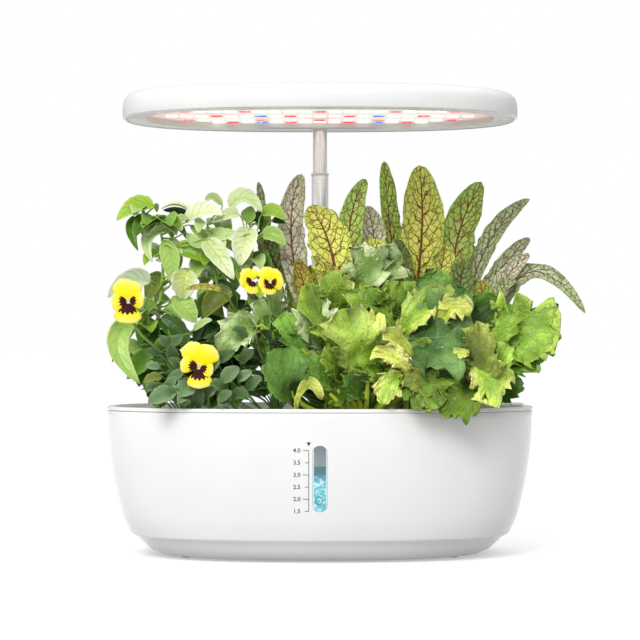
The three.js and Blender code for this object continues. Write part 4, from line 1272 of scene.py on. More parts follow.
@dataclass
class Post(Assembly):
    """Telescopic steel post with its collar and rivet."""

    y: float = 77.0
    lower: float = 7.3
    lower_bore: float = 6.6
    upper: float = 6.15
    upper_bore: float = 5.45
    rivet_z: float = 316.5
    lower_bottom: float = 100.0
    lower_top: float = 318.7
    upper_bottom: float = 150.0
    upper_top: float = 374.0

    def tube(self, radius: float, bore: float, bottom: float, top: float) -> Object:
        """Build a tube with softened ends.

        Args:
            radius: Outer radius.
            bore: Inner radius.
            bottom: Lower end.
            top: Upper end.

        Returns:
            The new object.
        """
        made = rod((0, self.y, (bottom + top) / 2), radius, top - bottom, sides=96)
        soften(made, 0.25, 2)
        carve(made, rod((0, self.y, (bottom + top) / 2), bore, top - bottom + 4, sides=64))
        return made

    def lower_tube(self) -> Object:
        """Build the lower tube with the hole its rivet sits in."""
        made = self.tube(self.lower, self.lower_bore, self.lower_bottom, self.lower_top)
        carve(made, rod((0, self.y - 7, self.rivet_z), 1.1, 4, "Y", 32))
        return smooth(made)

    def rivet(self) -> Object:
        """Build the rivet: a sunk washer round a small domed head."""
        face = self.y - self.lower
        made = rod((0, face - 0.5, self.rivet_z), 1.7, 0.5, "Y", 40)
        soften(made, 0.15, 2)
        carve(made, rod((0, face - 0.9, self.rivet_z), 1.15, 0.9, "Y", 32))
        head = rod((0, face - 0.1, self.rivet_z), 0.75, 1.0, "Y", 32)
        soften(head, 0.3, 3)
        carve(made, head, "UNION")
        return smooth(made)

    def collar(self) -> Object:
        """Build the white collar on top of the lower tube."""
        rows = [(7.7, 319), (7.9, 319.4), (7.9, 320.4), (7.6, 321), (7.0, 321.3)]
        made = turned(rows, (0, self.y), 64)
        carve(made, rod((0, self.y, 320), self.upper + 0.25, 10, sides=64))
        return smooth(made)

    def build(self) -> None:
        """Make the post's pieces."""
        skins = self.skins
        mount(self.lower_tube(), "lower_tube", skins.steel, Body.DECK, "steel", "lower_post")
        upper = smooth(self.tube(self.upper, self.upper_bore, self.upper_bottom, self.upper_top))
        mount(upper, "upper_tube", skins.steel, Body.LIGHT_HEAD, "steel", "upper_post")
        mount(self.rivet(), "tube_rivet", skins.steel, Body.DECK, "steel", "collar_rivet")
        mount(self.collar(), "tube_collar", skins.white, Body.DECK, "white_gloss", "post_collar")


@dataclass
class LightHead(Assembly):
    """Light head: shallow top shell, bezel, lit board with its lamps, screws and two buttons."""

    half: float = 163.0
    edge: float = 70.0
    bottom: float = 358.0
    lip: float = 3.1
    opening: float = 144.0
    wall: float = 2.5
    bezel_top: float = 363.7
    board_half: float = 149.0
    post_y: float = 77.0
    post_hole: float = 6.5
    pitch: float = 12.4
    lamp_rows: tuple = (-62, -38, -14, 18, 47, 62)
    lamp_steps: int = 11
    lamp_half: tuple = (4.9, 1.5)
    button_x: float = 14.0
    button_y: float = 51.0
    button_hole: float = 4.8
    screws: tuple = ((-130, -49), (130, -49), (-153, 0), (153, 0), (-130, 49), (130, 49))

    def ring(self, inset: float, z: float) -> Row:
        """Give a row at a height that stands a little inside the head's outline."""
        return (self.half - inset, self.half - inset - self.edge, z)

    def shell(self) -> Object:
        """Build the top shell as one wall, closed over its lower rim."""
        inner = [(6, 376.2), (3.4, 374.6), (2.8, 371), (2.8, 358.3)]
        outer = [(2.5, 358), (1.2, 358), (0.5, 358.6), (0.1, 360), (0, 364), (0.15, 368), (0.7, 371.6)]
        outer += [(1.9, 374.2), (4.2, 376.5), (7.4, 378), (12, 378.9), (19, 379.3)]
        made = climb([self.ring(inset, z) for inset, z in [*inner, *outer]])
        boss = rod((0, self.post_y, 372), 9.5, 9.6, sides=48)
        carve(boss, rod((0, self.post_y, 367), self.post_hole, 14.6, sides=48))
        carve(made, boss, "UNION")
        for side in (-1, 1):
            place = (side * self.button_x, self.button_y, 378)
            carve(made, rod(place, self.button_hole, 12, sides=48))
        return smooth(made)

    def bezel(self) -> Object:
        """Build the flat ring under the shell with its inner wall and the bump round the post."""
        made = climb([self.ring(self.lip, 358.5), self.ring(self.lip, 361)])
        inset = self.half - self.opening
        outer = inset - self.wall
        carve(made, climb([self.ring(outer, 358.5), self.ring(outer, self.bezel_top)]), "UNION")
        carve(made, climb([self.ring(inset, 350), self.ring(inset, 370)]))
        carve(made, block((-48, 67, 358.5), (48, 84, self.bezel_top), 1.5), "UNION")
        carve(made, rod((0, self.post_y, 360), self.post_hole, 20, sides=48))
        for x, y in self.screws:
            carve(made, rod((x, y, 358), 3.0, 3.2, sides=32))
        return smooth(made)

    def board(self) -> Object:
        """Build the board that carries the lamps."""
        half = self.board_half
        made = climb([(half, half - self.edge, 364.0), (half, half - self.edge, 365.6)])
        carve(made, rod((0, self.post_y, 365), 8.2, 8, sides=40))
        return smooth(made)

    def set_lamps(self, spots: list[tuple[float, float]], name: str, finish: Material) -> None:
        """Set one kind of lamp under the board.

        Args:
            spots: Place of each lamp.
            name: The joined piece's name.
            finish: Its material.
        """
        wide, deep = self.lamp_half
        first = block((-wide, -deep, 363.0), (wide, deep, 364.1), 0.45, 2)
        lamps = [duplicate(first, (x, y, 0)) for x, y in spots]
        bpy.data.objects.remove(first)
        mount(smooth(merge(lamps)), name, finish, Body.LIGHT_HEAD, "led_board")

    def lamps(self) -> None:
        """Lay out the lamps in rows, most of them white.

        The coloured ones are told by their row's Y and their step from the middle.
        """
        coloured = {
            "red": {
                (-14, 0), (-14, 5), (-14, 9), (18, 2), (18, 7), (18, 11), (47, 0), (47, 9), (62, 2),
                (62, 6), (-62, 3), (-62, 8), (-38, 1), (-38, 6), (-38, 10),
            },
            "blue": {(18, 4), (62, 4), (-62, 5), (-38, 3)},
            "orange": {(47, 4)},
        }
        kinds: dict[str, list[tuple[float, float]]] = {"white": [], "red": [], "blue": [], "orange": []}
        depth = self.opening - self.edge + 1
        for y in self.lamp_rows:
            reach = (self.opening - 8) * (1 - abs(y / depth) ** ROUNDNESS) ** (1 / ROUNDNESS)
            for index in range(-self.lamp_steps, self.lamp_steps + 1):
                x = index * self.pitch
                if abs(x) > reach:
                    continue
                found = [kind for kind, places in coloured.items() if (y, abs(index)) in places]
                kinds[found[0] if found else "white"].append((x, y))
        for kind, spots in kinds.items():
            self.set_lamps(spots, f"{kind}_lamps", self.skins.lamps[kind])

    def screw(self) -> Object:
        """Build a bezel screw at the origin, with a cross in its head."""
        made = rod((0, 0, 359.4), 2.5, 1.8, sides=32)
        soften(made, 0.4, 2)
        carve(made, block((-1.5, -0.3, 358), (1.5, 0.3, 359)))
        carve(made, block((-0.3, -1.5, 358), (0.3, 1.5, 359)))
        carve(made, rod((0, 0, 361.5), 1.0, 4, sides=16), "UNION")
        return smooth(made)

    def button(self, x: float) -> Object:
        """Build a push button with a shallow dish in its top.

        Args:
            x: Where it stands.

        Returns:
            The new object.
        """
        rows = [(5.3, 373.9), (5.4, 374.1), (5.4, 375.6), (4.5, 375.9), (4.5, 379.9), (4.3, 380.5)]
        rows += [(3.8, 380.8), (3.2, 380.8), (1.5, 380.45), (0.5, 380.4)]
        return smooth(turned(rows, (x, self.button_y), 48))

    def build(self) -> None:
        """Make every piece of the light head."""
        skins = self.skins
        mount(self.shell(), "head_shell", skins.head_white_shaded, Body.LIGHT_HEAD, "white_gloss", "lamp_top")
        mount(self.bezel(), "head_bezel", skins.bezel, Body.LIGHT_HEAD, "bezel_white", "lamp_bezel")
        mount(self.board(), "lit_board", skins.board, Body.LIGHT_HEAD, "led_board", "led_board")
        self.lamps()
        first = self.screw()
        for index, (x, y) in enumerate(self.screws):
            copy = duplicate(first, (x, y, 0))
            node = f"bezel_screw_{index + 1}"
            mount(copy, f"cross_screw_{index + 1}", skins.steel, Body.LIGHT_HEAD, "steel", node)
        bpy.data.objects.remove(first)
        light, pump = self.button(-self.button_x), self.button(self.button_x)
        mount(light, "light_switch", skins.white, Body.LIGHT_BUTTON, "white_gloss", "light_button")
        mount(pump, "pump_switch", skins.white, Body.PUMP_BUTTON, "white_gloss", "pump_button")
        dress(["control_board"], skins.circuit)


# Plants


class Tone(Enum):
    """Leaf colours: along the middle, at the edge and on the veins."""

    LIME = ((132, 182, 40), (188, 216, 92), (214, 232, 150))
    MID = ((96, 146, 44), (142, 184, 74), (186, 212, 126))
    # PALE, CREAM and BUTTER are painted highlight: leaves shown near white where light strikes them
    PALE = ((190, 220, 130), (232, 244, 196), (232, 242, 202))
    # DARK is painted shade: leaves that lie in shadow
    DARK = ((34, 62, 18), (60, 92, 32), (96, 128, 56))
    DEEP = ((62, 102, 30), (98, 142, 50), (140, 176, 84))
    CREAM = ((210, 228, 152), (250, 252, 230), (234, 242, 190))
    BUTTER = ((198, 216, 108), (250, 250, 228), (232, 240, 180))
    # OLIVE also serves as painted shade on basil leaves that lie behind others
    OLIVE = ((98, 116, 34), (150, 160, 72), (176, 186, 106))
    MIST = ((172, 190, 152), (214, 220, 200), (226, 232, 214))
    MEADOW = ((152, 194, 84), (200, 224, 136), (212, 230, 158))
    DUSTY = ((92, 122, 70), (138, 164, 120), (152, 176, 136))
    PINE = ((64, 92, 46), (98, 126, 78), (120, 146, 98))
    ASH = ((236, 236, 212), (206, 216, 170), (132, 18, 46))
    FRESH = ((200, 226, 114), (166, 208, 98), (112, 16, 20))
    GOLD = ((250, 246, 122), (214, 232, 106), (104, 12, 18))
    AMBER = ((214, 206, 92), (178, 180, 80), (122, 20, 24))
    NIGHT = ((146, 166, 96), (118, 140, 76), (70, 10, 18))
    ASHEN = ((194, 206, 160), (160, 182, 120), (100, 16, 32))
    SEA = ((76, 122, 52), (134, 170, 94), (168, 198, 124))
    # CHARTREUSE: its pale edge colour is partly painted highlight on the ruffled crests
    CHARTREUSE = ((134, 182, 26), (224, 236, 128), (222, 236, 140))
    # green with a painted highlight along its ruffled edge
    FROST = ((124, 168, 60), (228, 240, 184), (204, 224, 150))
    SUN = ((192, 208, 60), (240, 240, 150), (236, 240, 170))
    FERN = ((66, 104, 28), (98, 140, 52), (128, 164, 80))
    MOSS = ((76, 110, 20), (138, 168, 56), (170, 194, 98))
    PETAL = ((188, 188, 188), (188, 188, 188), (0, 0, 0))
    LIP = ((200, 200, 200), (200, 200, 200), (0, 0, 0))
    PLAIN_PETAL = ((0, 0, 0), (0, 0, 0), (0, 0, 0))


@dataclass(frozen=True)
class Blade:
    """How one kind of leaf is cut, folded and ruffled."""

    along: int
    across: int
    base_power: float
    full_power: float
    curl: float
    keel: float
    pucker: float
    grain: float
    ruffle: float
    waves: float
    lobes: float
    teeth: float
    thick: float
    rim: float = 2.4
    # relief: strength of the painted light and shade on the pucker's crests and hollows
    relief: float = 0.25
    wing: float = 0.0


class Kind(Enum):
    """Kinds of leaf in the garden."""

    BASIL = Blade(
        along=22, across=12, base_power=0.78, full_power=0.68, curl=0.85, keel=0.1, pucker=0.12,
        grain=60, ruffle=0.08, waves=2.0, lobes=0.04, teeth=0.01, thick=0.45,
    )
    PANSY = Blade(
        along=16, across=10, base_power=0.85, full_power=0.62, curl=0.35, keel=0.16, pucker=0.08,
        grain=70, ruffle=0.1, waves=3.0, lobes=0.16, teeth=0.06, thick=0.4,
    )
    SORREL = Blade(
        along=40, across=12, base_power=0.8, full_power=0.47, curl=0.35, keel=0.22, pucker=0.08,
        grain=50, ruffle=0.2, waves=2.4, lobes=0.12, teeth=0.02, thick=0.5,
    )
    LETTUCE = Blade(
        along=50, across=24, base_power=1.2, full_power=0.45, curl=0.45, keel=0.1, pucker=0.15,
        grain=26, ruffle=0.62, waves=3.4, lobes=0.22, teeth=0.05, thick=0.4, rim=2.4, relief=0.7, wing=0.42,
    )
    PETAL = Blade(
        along=14, across=14, base_power=1.7, full_power=0.55, curl=-0.35, keel=0.0, pucker=0.02,
        grain=60, ruffle=0.09, waves=1.6, lobes=0.08, teeth=0.01, thick=0.3, rim=2.4, relief=0.1,
    )


# Share of a leaf's length that is bare stalk, and how much thinner a stalk gets
BARE_SHARE = {Kind.BASIL: 0.12, Kind.PANSY: 0.5, Kind.SORREL: 0.3, Kind.LETTUCE: 0.12}
STALK_TAPER = 0.45
STEM_STEPS = 8  # points looked at along each stretch of a stem
TOWARDS_VIEW = Vector((0, -0.9, 0.44))  # where a photographed leaf's upper side looks


@dataclass(frozen=True)
class Leaf:
    """One leaf as it is seen: where its blade starts, bends and ends, and how wide it is.

    Places are pixels across, pixels down and a depth, and the width is in pixels.
    """

    base: Point
    middle: Point
    tip: Point
    wide: float
    tone: Tone
    roll: float = 0.0
    curl: float = 1.0
    ruffle: float = 1.0


def curve_at(points: tuple[Vector, Vector, Vector], t: float) -> tuple[Vector, Vector]:
    """Give a point of a quadratic curve and the way it heads there.

    Args:
        points: Start, control point and end.
        t: Share of the curve.

    Returns:
        The point and its unit heading.
    """
    start, control, end = points
    point = start * (1 - t) ** 2 + control * 2 * t * (1 - t) + end * t**2
    return point, ((control - start) * (1 - t) + (end - control) * t).normalized()


class Plant:
    """A plant: blades joined into one piece over its solid, and its stalks in another."""

    crown_z = 112.0
    lowest_tip = 126

    def __init__(self, name: str, kind: Kind, stalk: Tone, seed: int) -> None:
        """Start an empty plant over its pod.

        Args:
            name: The plant's node.
            kind: Its kind of leaf.
            stalk: Colour of its stalks.
            seed: Start of its random choices.
        """
        self.name = name
        self.kind = kind
        self.stalk_tone = stalk
        self.luck = random.Random(seed)
        x, y = PODS[name]
        self.crown = Vector((x, y, self.crown_z))
        self.blades: list[Object] = []
        self.stalks: list[tuple[list[Vector], float, float]] = []
        self.stems: list[list[Vector]] = []

    def outline(self, along: float, kind: Blade) -> float:
        """Give a blade's half width as a share of its widest, from base to tip."""
        return max(0.0, math.sin(math.pi * along**kind.base_power)) ** kind.full_power

    def blade(self, path: tuple[Vector, Vector, Vector], wide: float, tone: Tone, kind: Blade,
              face: Vector, roll: float = 0.0, curl: float = 1.0, ruffle: float = 1.0,
              root: Vector | None = None) -> None:
        """Build a blade: a grid laid along its path, curled, puckered, ruffled and thickened.

        Args:
            path: Base, middle and tip in millimetres.
            wide: Full width in millimetres.
            tone: Its colours.
            kind: Its cut.
            face: Where its upper side looks.
            roll: Turn about its length in degrees.
            curl: Factor on the kind's curl.
            ruffle: Factor on the kind's ruffles.
            root: Where a winged stalk starts, or None for a blade that starts at its base.
        """
        base, middle, tip = path
        control = middle * 2 - (base + tip) / 2
        length = (middle - base).length + (tip - middle).length
        joint = 0.0
        if root:
            reach = (base - root).length
            joint = reach / (reach + length)
            bend_point = base - (control - base).normalized() * reach * 0.4
        deselect()
        bpy.ops.mesh.primitive_grid_add(
            x_subdivisions=kind.along, y_subdivisions=kind.across, size=1.0, calc_uvs=True
        )
        made = bpy.context.object
        shift = Vector([self.luck.uniform(-90, 90) for _ in range(3)])
        seed = self.luck.uniform(0, 90)
        bend = kind.curl * curl
        inner, outer, vein = (linear(colour) for colour in tone.value)
        tints, veins = [], []
        for vertex in made.data.vertices:
            run = vertex.co.x + 0.5
            over = vertex.co.y * 2
            if run < joint:
                along, t = 0.0, run / joint
                spine, heading = curve_at((root, bend_point, base), t)
                wing = kind.wing * (0.35 + 0.65 * t * t)
            else:
                along = (run - joint) / (1 - joint)
                spine, heading = curve_at((base, control, tip), along)
                wing = kind.wing if root else 0.0
            up = (face - heading * face.dot(heading)).normalized()
            side = heading.cross(up)
            turn = math.radians(roll)
            cosine, sine = math.cos(turn), math.sin(turn)
            up, side = up * cosine + side * sine, side * cosine - up * sine
            half = wide / 2 * max(self.outline(along, kind), wing * (1 - along * along))
            edge = math.atan2(over * half, (along - 0.4) * length) * kind.waves
            lobe = noise.noise(Vector((edge, seed, 0))) + 0.6 * noise.noise(Vector((edge * 2.6, seed, 9)))
            teeth = noise.noise(Vector((edge * 6.5, seed, 20)))
            half = max(0.25, half * (1 + (kind.lobes * lobe + kind.teeth * teeth) * abs(over)))
            arc = bend * over
            across = half * (math.sin(arc) / bend if abs(bend) > 0.05 else over)
            lift = half * ((1 - math.cos(arc)) / bend if abs(bend) > 0.05 else 0.0)
            lift += kind.keel * half * (abs(over) - 0.4)
            spot = (spine + side * across) * (1 / kind.grain) + shift
            rough = noise.noise(spot) + 0.5 * noise.noise(spot * 2.7)
            lift += kind.pucker * min(wide, 40) * rough * min(1.0, abs(over) * 3 + 0.2)
            rim = max(abs(over) ** kind.rim, max(0.0, (along - 0.7) / 0.3) ** 2)
            wave = noise.noise(Vector((edge * 1.5, seed, 40)))
            wave += 0.6 * noise.noise(Vector((edge * 3.6, seed, 60)))
            crisp = kind.ruffle * ruffle * min(half, wide * 0.4) * rim
            crest = crisp * wave
            fold = crisp * noise.noise(Vector((edge * 1.7, seed, 80)))
            vertex.co = (spine + side * (across + fold * over) + up * (lift + crest) + heading * fold) * MM
            # share of the edge colour: more towards the edge and the tip, and more on puckered crests, where
            # it is a painted highlight
            shade = min(1.0, max(0.0, abs(over) ** 1.6 * 0.7 + along**2 * 0.3 + 0.45 * rough))
            # on a winged stalk the tint fades to the middle colour towards the root: painted shade at the
            # leaf's base
            if run < joint:
                shade *= run / joint
            # painted light and shade: crests of the pucker lighter, its hollows darker
            depth = 1 + kind.relief * rough
            tints += [min(1.0, (a + (b - a) * shade) * depth) for a, b in zip(inner[:3], outer[:3])] + [1.0]
            veins += vein
        for label, colours in (("tint", tints), ("vein", veins)):
            layer = made.data.attributes.new(label, "FLOAT_COLOR", "POINT")
            layer.data.foreach_set("color", colours)
        apply_modifier(made, "SOLIDIFY", thickness=kind.thick * MM, offset=0.0)
        self.blades.append(made)

    def nearest(self, spot: Vector) -> Vector:
        """Find the point of the plant's stems that a leaf would grow from.

        Args:
            spot: Where its blade starts.

        Returns:
            A point a little lower on a stem, or the crown.
        """
        best, least = self.crown, (spot - self.crown).length * (0.6 if self.stems else 0.0)
        for stem in self.stems:
            for start, end in zip(stem, stem[1:]):
                for step in range(STEM_STEPS + 1):
                    point = start.lerp(end, step / STEM_STEPS)
                    reach = (spot - point).length + max(0.0, point.z - spot.z + 4) * 3
                    if reach < least:
                        best, least = point, reach
        return best

    def stem(self, *places: Point, thick: float = 1.9, thin: float = 1.0) -> None:
        """Add a main stem.

        Args:
            places: Pixels and depths that it runs through, from its foot.
            thick: Radius at its foot.
            thin: Radius at its top.
        """
        points = [PHOTO.spot(place) for place in places]
        self.stems.append(points)
        self.stalks.append((points, thick, thin))

    def show(self, stalk: float, leaves: tuple[Leaf, ...]) -> None:
        """Add leaves that the photograph shows, each with a stalk of the given radius."""
        for leaf in leaves:
            self.grow(leaf, stalk)

    def grow(self, leaf: Leaf, stalk: float) -> None:
        """Add a leaf that the photograph shows, with its stalk.

        Args:
            leaf: The leaf.
            stalk: Radius of its stalk.
        """
        base, middle, tip = (PHOTO.spot(place) for place in (leaf.base, leaf.middle, leaf.tip))
        wide = leaf.wide * PHOTO.pixel
        kind = self.kind.value
        root = self.crown if kind.wing else None
        path = (base, middle, tip)
        turns = (leaf.roll, leaf.curl, leaf.ruffle)
        self.blade(path, wide, leaf.tone, kind, TOWARDS_VIEW, *turns, root)
        self.join_up(base, base.lerp(middle, 0.5), stalk)

    def join_up(self, base: Vector, inner: Vector, stalk: float) -> None:
        """Run a stalk from the plant to a blade.

        Args:
            base: Where the blade starts.
            inner: A point a little way into the blade.
            stalk: Radius.
        """
        root = self.nearest(base)
        low = root.lerp(base, 0.5) + Vector((0, 0, -0.08 * (base - root).length))
        if (base - root).length > 3:
            self.stalks.append(([root, low, base, base.lerp(inner, 0.6)], stalk, stalk * STALK_TAPER))

    def rear(self, tip: Point, wide: float, tone: Tone, start: Point | None = None, bow: Point = (0, 0, 8),
             face: Point = (0, 0.8, 0.6), stalk: float = 1.0) -> None:
        """Add a leaf at the back or sides, by its place in the frame.

        Args:
            tip: Its tip in millimetres.
            wide: Its width in millimetres.
            tone: Its colours.
            start: Where it leaves the plant, or the crown.
            bow: How far its middle lies off the straight.
            face: Where its upper side looks.
            stalk: Radius of its stalk.
        """
        root = Vector(start) if start else self.crown
        end = Vector(tip)
        middle = (root + end) / 2 + Vector(bow)
        share = BARE_SHARE[self.kind]
        curve = (root, middle * 2 - (root + end) / 2, end)
        path = tuple(curve_at(curve, t)[0] for t in (share, (1 + share) / 2, 1.0))
        self.blade(path, wide, tone, self.kind.value, Vector(face))
        bare = [curve_at(curve, t)[0] for t in (share * 0.5, share, share + 0.2)]
        self.stalks.append(([root, *bare], stalk, stalk * STALK_TAPER))

    def pairs(self, tones: list[Tone], first: float, reach: float, wide: float, apart: float) -> None:
        """Add leaves in pairs up every main stem, each pair crossing the one below it.

        Args:
            tones: Colours, from the lowest pair to the highest.
            first: Height of the lowest pair.
            reach: How far the lowest pair goes; the others are shorter.
            wide: Width of the lowest pair.
            apart: Height between pairs.
        """
        for stem in self.stems:
            top = stem[-1].z
            count = int((top - first) / apart) + 1
            for level in range(count):
                height = top - 2 - level * apart * self.luck.uniform(0.9, 1.1)
                steps = [step / STEM_STEPS for step in range(STEM_STEPS + 1)]
                points = [a.lerp(b, share) for a, b in zip(stem, stem[1:]) for share in steps]
                start = min(points, key=lambda point: abs(point.z - height))
                share = 0.6 + 0.4 * level / count
                tone = tones[max(0, len(tones) - 1 - level * len(tones) // count)]
                for side in range(2):
                    angle = math.radians(90 * level + 180 * side + self.luck.uniform(20, 70))
                    out = Vector((math.cos(angle), math.sin(angle), 0))
                    tip = start + out * reach * share + Vector((0, 0, self.luck.uniform(-10, 2)))
                    bow = Vector((0, 0, 0.2 * reach))
                    face = out * 0.25 + Vector((0, -0.35, 0.9))
                    self.rear(tuple(tip), wide * share, tone, tuple(start), tuple(bow), tuple(face), 0.7)

    def fill(self, count: int, tones: list[Tone], reach: float, height: float, wide: float,
             arc: tuple[float, float] = (0, 360), low: float = 0.35) -> None:
        """Add small leaves round the crown, so that no side is bare.

        Args:
            count: How many.
            tones: Colours to choose among.
            reach: How far out the longest goes.
            height: Height of the tallest tip over the crown.
            wide: Width of the widest.
            arc: First and last direction in degrees, 0 being +X and 90 the back.
            low: Lowest tip as a share of the height.
        """
        for index in range(count):
            start, end = arc
            angle = math.radians(start + (end - start) * (index + self.luck.random()) / count)
            out = Vector((math.cos(angle), math.sin(angle), 0))
            length = reach * self.luck.uniform(0.55, 1)
            rise = height * self.luck.uniform(low, 1)
            tip = self.crown + out * length + Vector((0, 0, rise))
            tip.z = max(tip.z, self.lowest_tip)
            face = out * 0.5 + Vector((0, 0, 0.85))
            size = wide * self.luck.uniform(0.6, 1)
            bow = out * (-0.12 * length) + Vector((0, 0, 0.2 * rise + 4))
            self.rear(tuple(tip), size, self.luck.choice(tones), None, tuple(bow), tuple(face), 0.8)

    def tubes(self) -> Object:
        """Build every stalk as one mesh with the stalks' tint."""
        deselect()
        bpy.ops.curve.primitive_bezier_curve_add()
        line = bpy.context.object
        line.data.dimensions = "3D"
        line.data.splines.clear()
        line.data.bevel_depth = 1.0
        line.data.bevel_resolution = 2
        line.data.use_fill_caps = True
        line.data.resolution_u = 5
        for points, thick, thin in self.stalks:
            spline = line.data.splines.new("BEZIER")
            spline.bezier_points.add(len(points) - 1)
            for index, (knot, point) in enumerate(zip(spline.bezier_points, points)):
                knot.co = point * MM
                knot.handle_left_type = knot.handle_right_type = "AUTO"
                knot.radius = (thick + (thin - thick) * index / (len(points) - 1)) * MM
        bpy.ops.object.convert(target="MESH")
        made = settle(bpy.context.object)
        colour = linear(self.stalk_tone.value[0])
        layer = made.data.attributes.new("tint", "FLOAT_COLOR", "POINT")
        layer.data.foreach_set("color", list(colour) * len(made.data.vertices))
        return smooth(made)

    def finish(self, skins: Finishes) -> None:
        """Join the plant's blades and stalks and put them on the deck.

        Args:
            skins: The garden's finishes.
        """
        slot = f"{self.kind.name.lower()}_leaf"
        leaves = merge(self.blades)
        pick(leaves)
        bpy.ops.object.shade_smooth()
        mount(leaves, f"{self.name}_leaves", skins.leaves[self.kind.name], Body.DECK, slot, self.name)
        mount(self.tubes(), f"{self.name}_stalks", skins.stalk, Body.DECK, slot)


@dataclass(frozen=True)
class Flower:
    """A pansy: where its eye is and where each petal ends, in pixels and a depth."""

    eye: Point
    petals: tuple

    def build(self, plant: Plant) -> list[Object]:
        """Build the petals round the eye.

        Args:
            plant: The plant that carries the flower.

        Returns:
            The petals.
        """
        kept, plant.blades = plant.blades, []
        centre = PHOTO.spot(self.eye)
        for tip, wide, blotched in self.petals:
            end = PHOTO.spot(tip)
            start = centre.lerp(end, 0.02)
            middle = (start + end) / 2 + Vector((0, -1.2, 0))
            tone = (Tone.PLAIN_PETAL, Tone.PETAL, Tone.LIP)[blotched]
            face = Vector((0.05, -1, 0.12))
            plant.blade((start, middle, end), wide * PHOTO.pixel, tone, Kind.PETAL.value, face)
        petals, plant.blades = plant.blades, kept
        return petals


# Leaves and flowers that the photograph shows, plant by plant

FIRST_BASIL_LEAVES = (
    Leaf((153, 206, -2), (136, 208, -8), (117, 221, -12), 24, Tone.LIME, 10),
    Leaf((147, 216, 0), (131, 228, -6), (138, 250, -10), 15, Tone.MID, -20),
    Leaf((170, 229, -2), (148, 238, -10), (152, 262, -12), 14, Tone.PALE),
    Leaf((190, 212, 0), (176, 205, 0), (161, 209, -2), 11, Tone.PALE, 50),
    Leaf((189, 214, 4), (176, 211, 4), (163, 210, 2), 9, Tone.DARK),
    Leaf((172, 229, -2), (180, 219, -4), (188, 219, -6), 11, Tone.PALE),
    Leaf((186, 222, 0), (204, 212, -8), (222, 216, -12), 24, Tone.CREAM, -10),
    Leaf((190, 225, 0), (204, 236, -4), (209, 232, -8), 12, Tone.MEADOW),
    Leaf((187, 233, -2), (198, 244, -8), (211, 243, -10), 13, Tone.PALE),
    Leaf((205, 240, -10), (218, 256, -20), (234, 280, -24), 24, Tone.CREAM),
    Leaf((187, 270, -24), (184, 284, -28), (183, 300, -24), 28, Tone.BUTTER),
    Leaf((176, 296, -20), (186, 310, -26), (196, 322, -26), 24, Tone.MEADOW),
    Leaf((163, 275, 8), (154, 285, 6), (147, 302, 6), 20, Tone.OLIVE),
    Leaf((165, 262, 6), (176, 252, 4), (188, 246, 6), 17, Tone.DEEP),
    Leaf((150, 282, -30), (130, 282, -34), (108, 298, -40), 25, Tone.MIST),
    Leaf((140, 316, -30), (117, 345, -46), (140, 384, -56), 25, Tone.MEADOW, -10),
    Leaf((150, 318, -6), (152, 340, -10), (160, 358, -12), 22, Tone.DEEP),
    Leaf((160, 318, -10), (175, 330, -14), (190, 352, -14), 24, Tone.DEEP),
    Leaf((150, 350, -20), (140, 366, -26), (128, 378, -28), 22, Tone.MID),
    Leaf((163, 240, -4), (172, 262, -8), (170, 282, -10), 22, Tone.MEADOW, 15),
    Leaf((165, 250, -2), (196, 256, -6), (214, 268, -6), 20, Tone.LIME, -15),
    Leaf((158, 330, -8), (170, 350, -12), (178, 366, -14), 20, Tone.DARK),
    Leaf((146, 330, -8), (136, 318, -10), (124, 322, -12), 20, Tone.MID, 20),
)

SECOND_BASIL_LEAVES = (
    Leaf((222, 205, 4), (212, 197, 2), (205, 203, 0), 10, Tone.PALE),
    Leaf((230, 207, 0), (245, 198, -4), (262, 212, -8), 20, Tone.PALE),
    Leaf((238, 214, -2), (228, 215, -6), (212, 222, -10), 15, Tone.CREAM),
    Leaf((246, 222, 2), (249, 214, 0), (251, 206, 0), 17, Tone.MEADOW),
    Leaf((262, 214, -2), (274, 212, -6), (284, 220, -8), 17, Tone.LIME),
    Leaf((272, 220, 2), (278, 221, 0), (285, 223, -2), 9, Tone.DARK),
    Leaf((250, 228, -6), (244, 244, -14), (240, 266, -18), 28, Tone.CREAM),
    Leaf((263, 236, -4), (274, 236, -8), (286, 246, -10), 19, Tone.MEADOW),
    Leaf((250, 222, 6), (258, 218, 6), (260, 230, 6), 12, Tone.DARK),
    Leaf((236, 270, -6), (244, 262, -8), (252, 266, -8), 14, Tone.PALE),
    Leaf((232, 292, -16), (216, 300, -20), (205, 318, -24), 27, Tone.OLIVE),
    Leaf((218, 296, -14), (208, 304, -18), (198, 318, -20), 24, Tone.DEEP),
    Leaf((212, 252, 2), (200, 262, -2), (194, 282, -4), 22, Tone.MEADOW),
    Leaf((214, 262, -2), (228, 268, -6), (236, 288, -8), 22, Tone.MID),
    Leaf((216, 280, 2), (226, 296, -4), (236, 312, -8), 24, Tone.DEEP),
    Leaf((250, 262, 2), (262, 262, -2), (270, 274, -4), 20, Tone.DEEP),
    Leaf((208, 232, 0), (222, 236, -4), (238, 232, -8), 18, Tone.PALE),
    Leaf((222, 320, -4), (206, 330, -10), (194, 344, -12), 24, Tone.DARK),
    Leaf((248, 300, 0), (238, 316, -6), (232, 334, -8), 24, Tone.DARK),
    Leaf((228, 340, -4), (216, 352, -10), (206, 368, -12), 22, Tone.DEEP),
    Leaf((243, 330, 0), (256, 340, -6), (262, 356, -8), 22, Tone.DEEP),
)

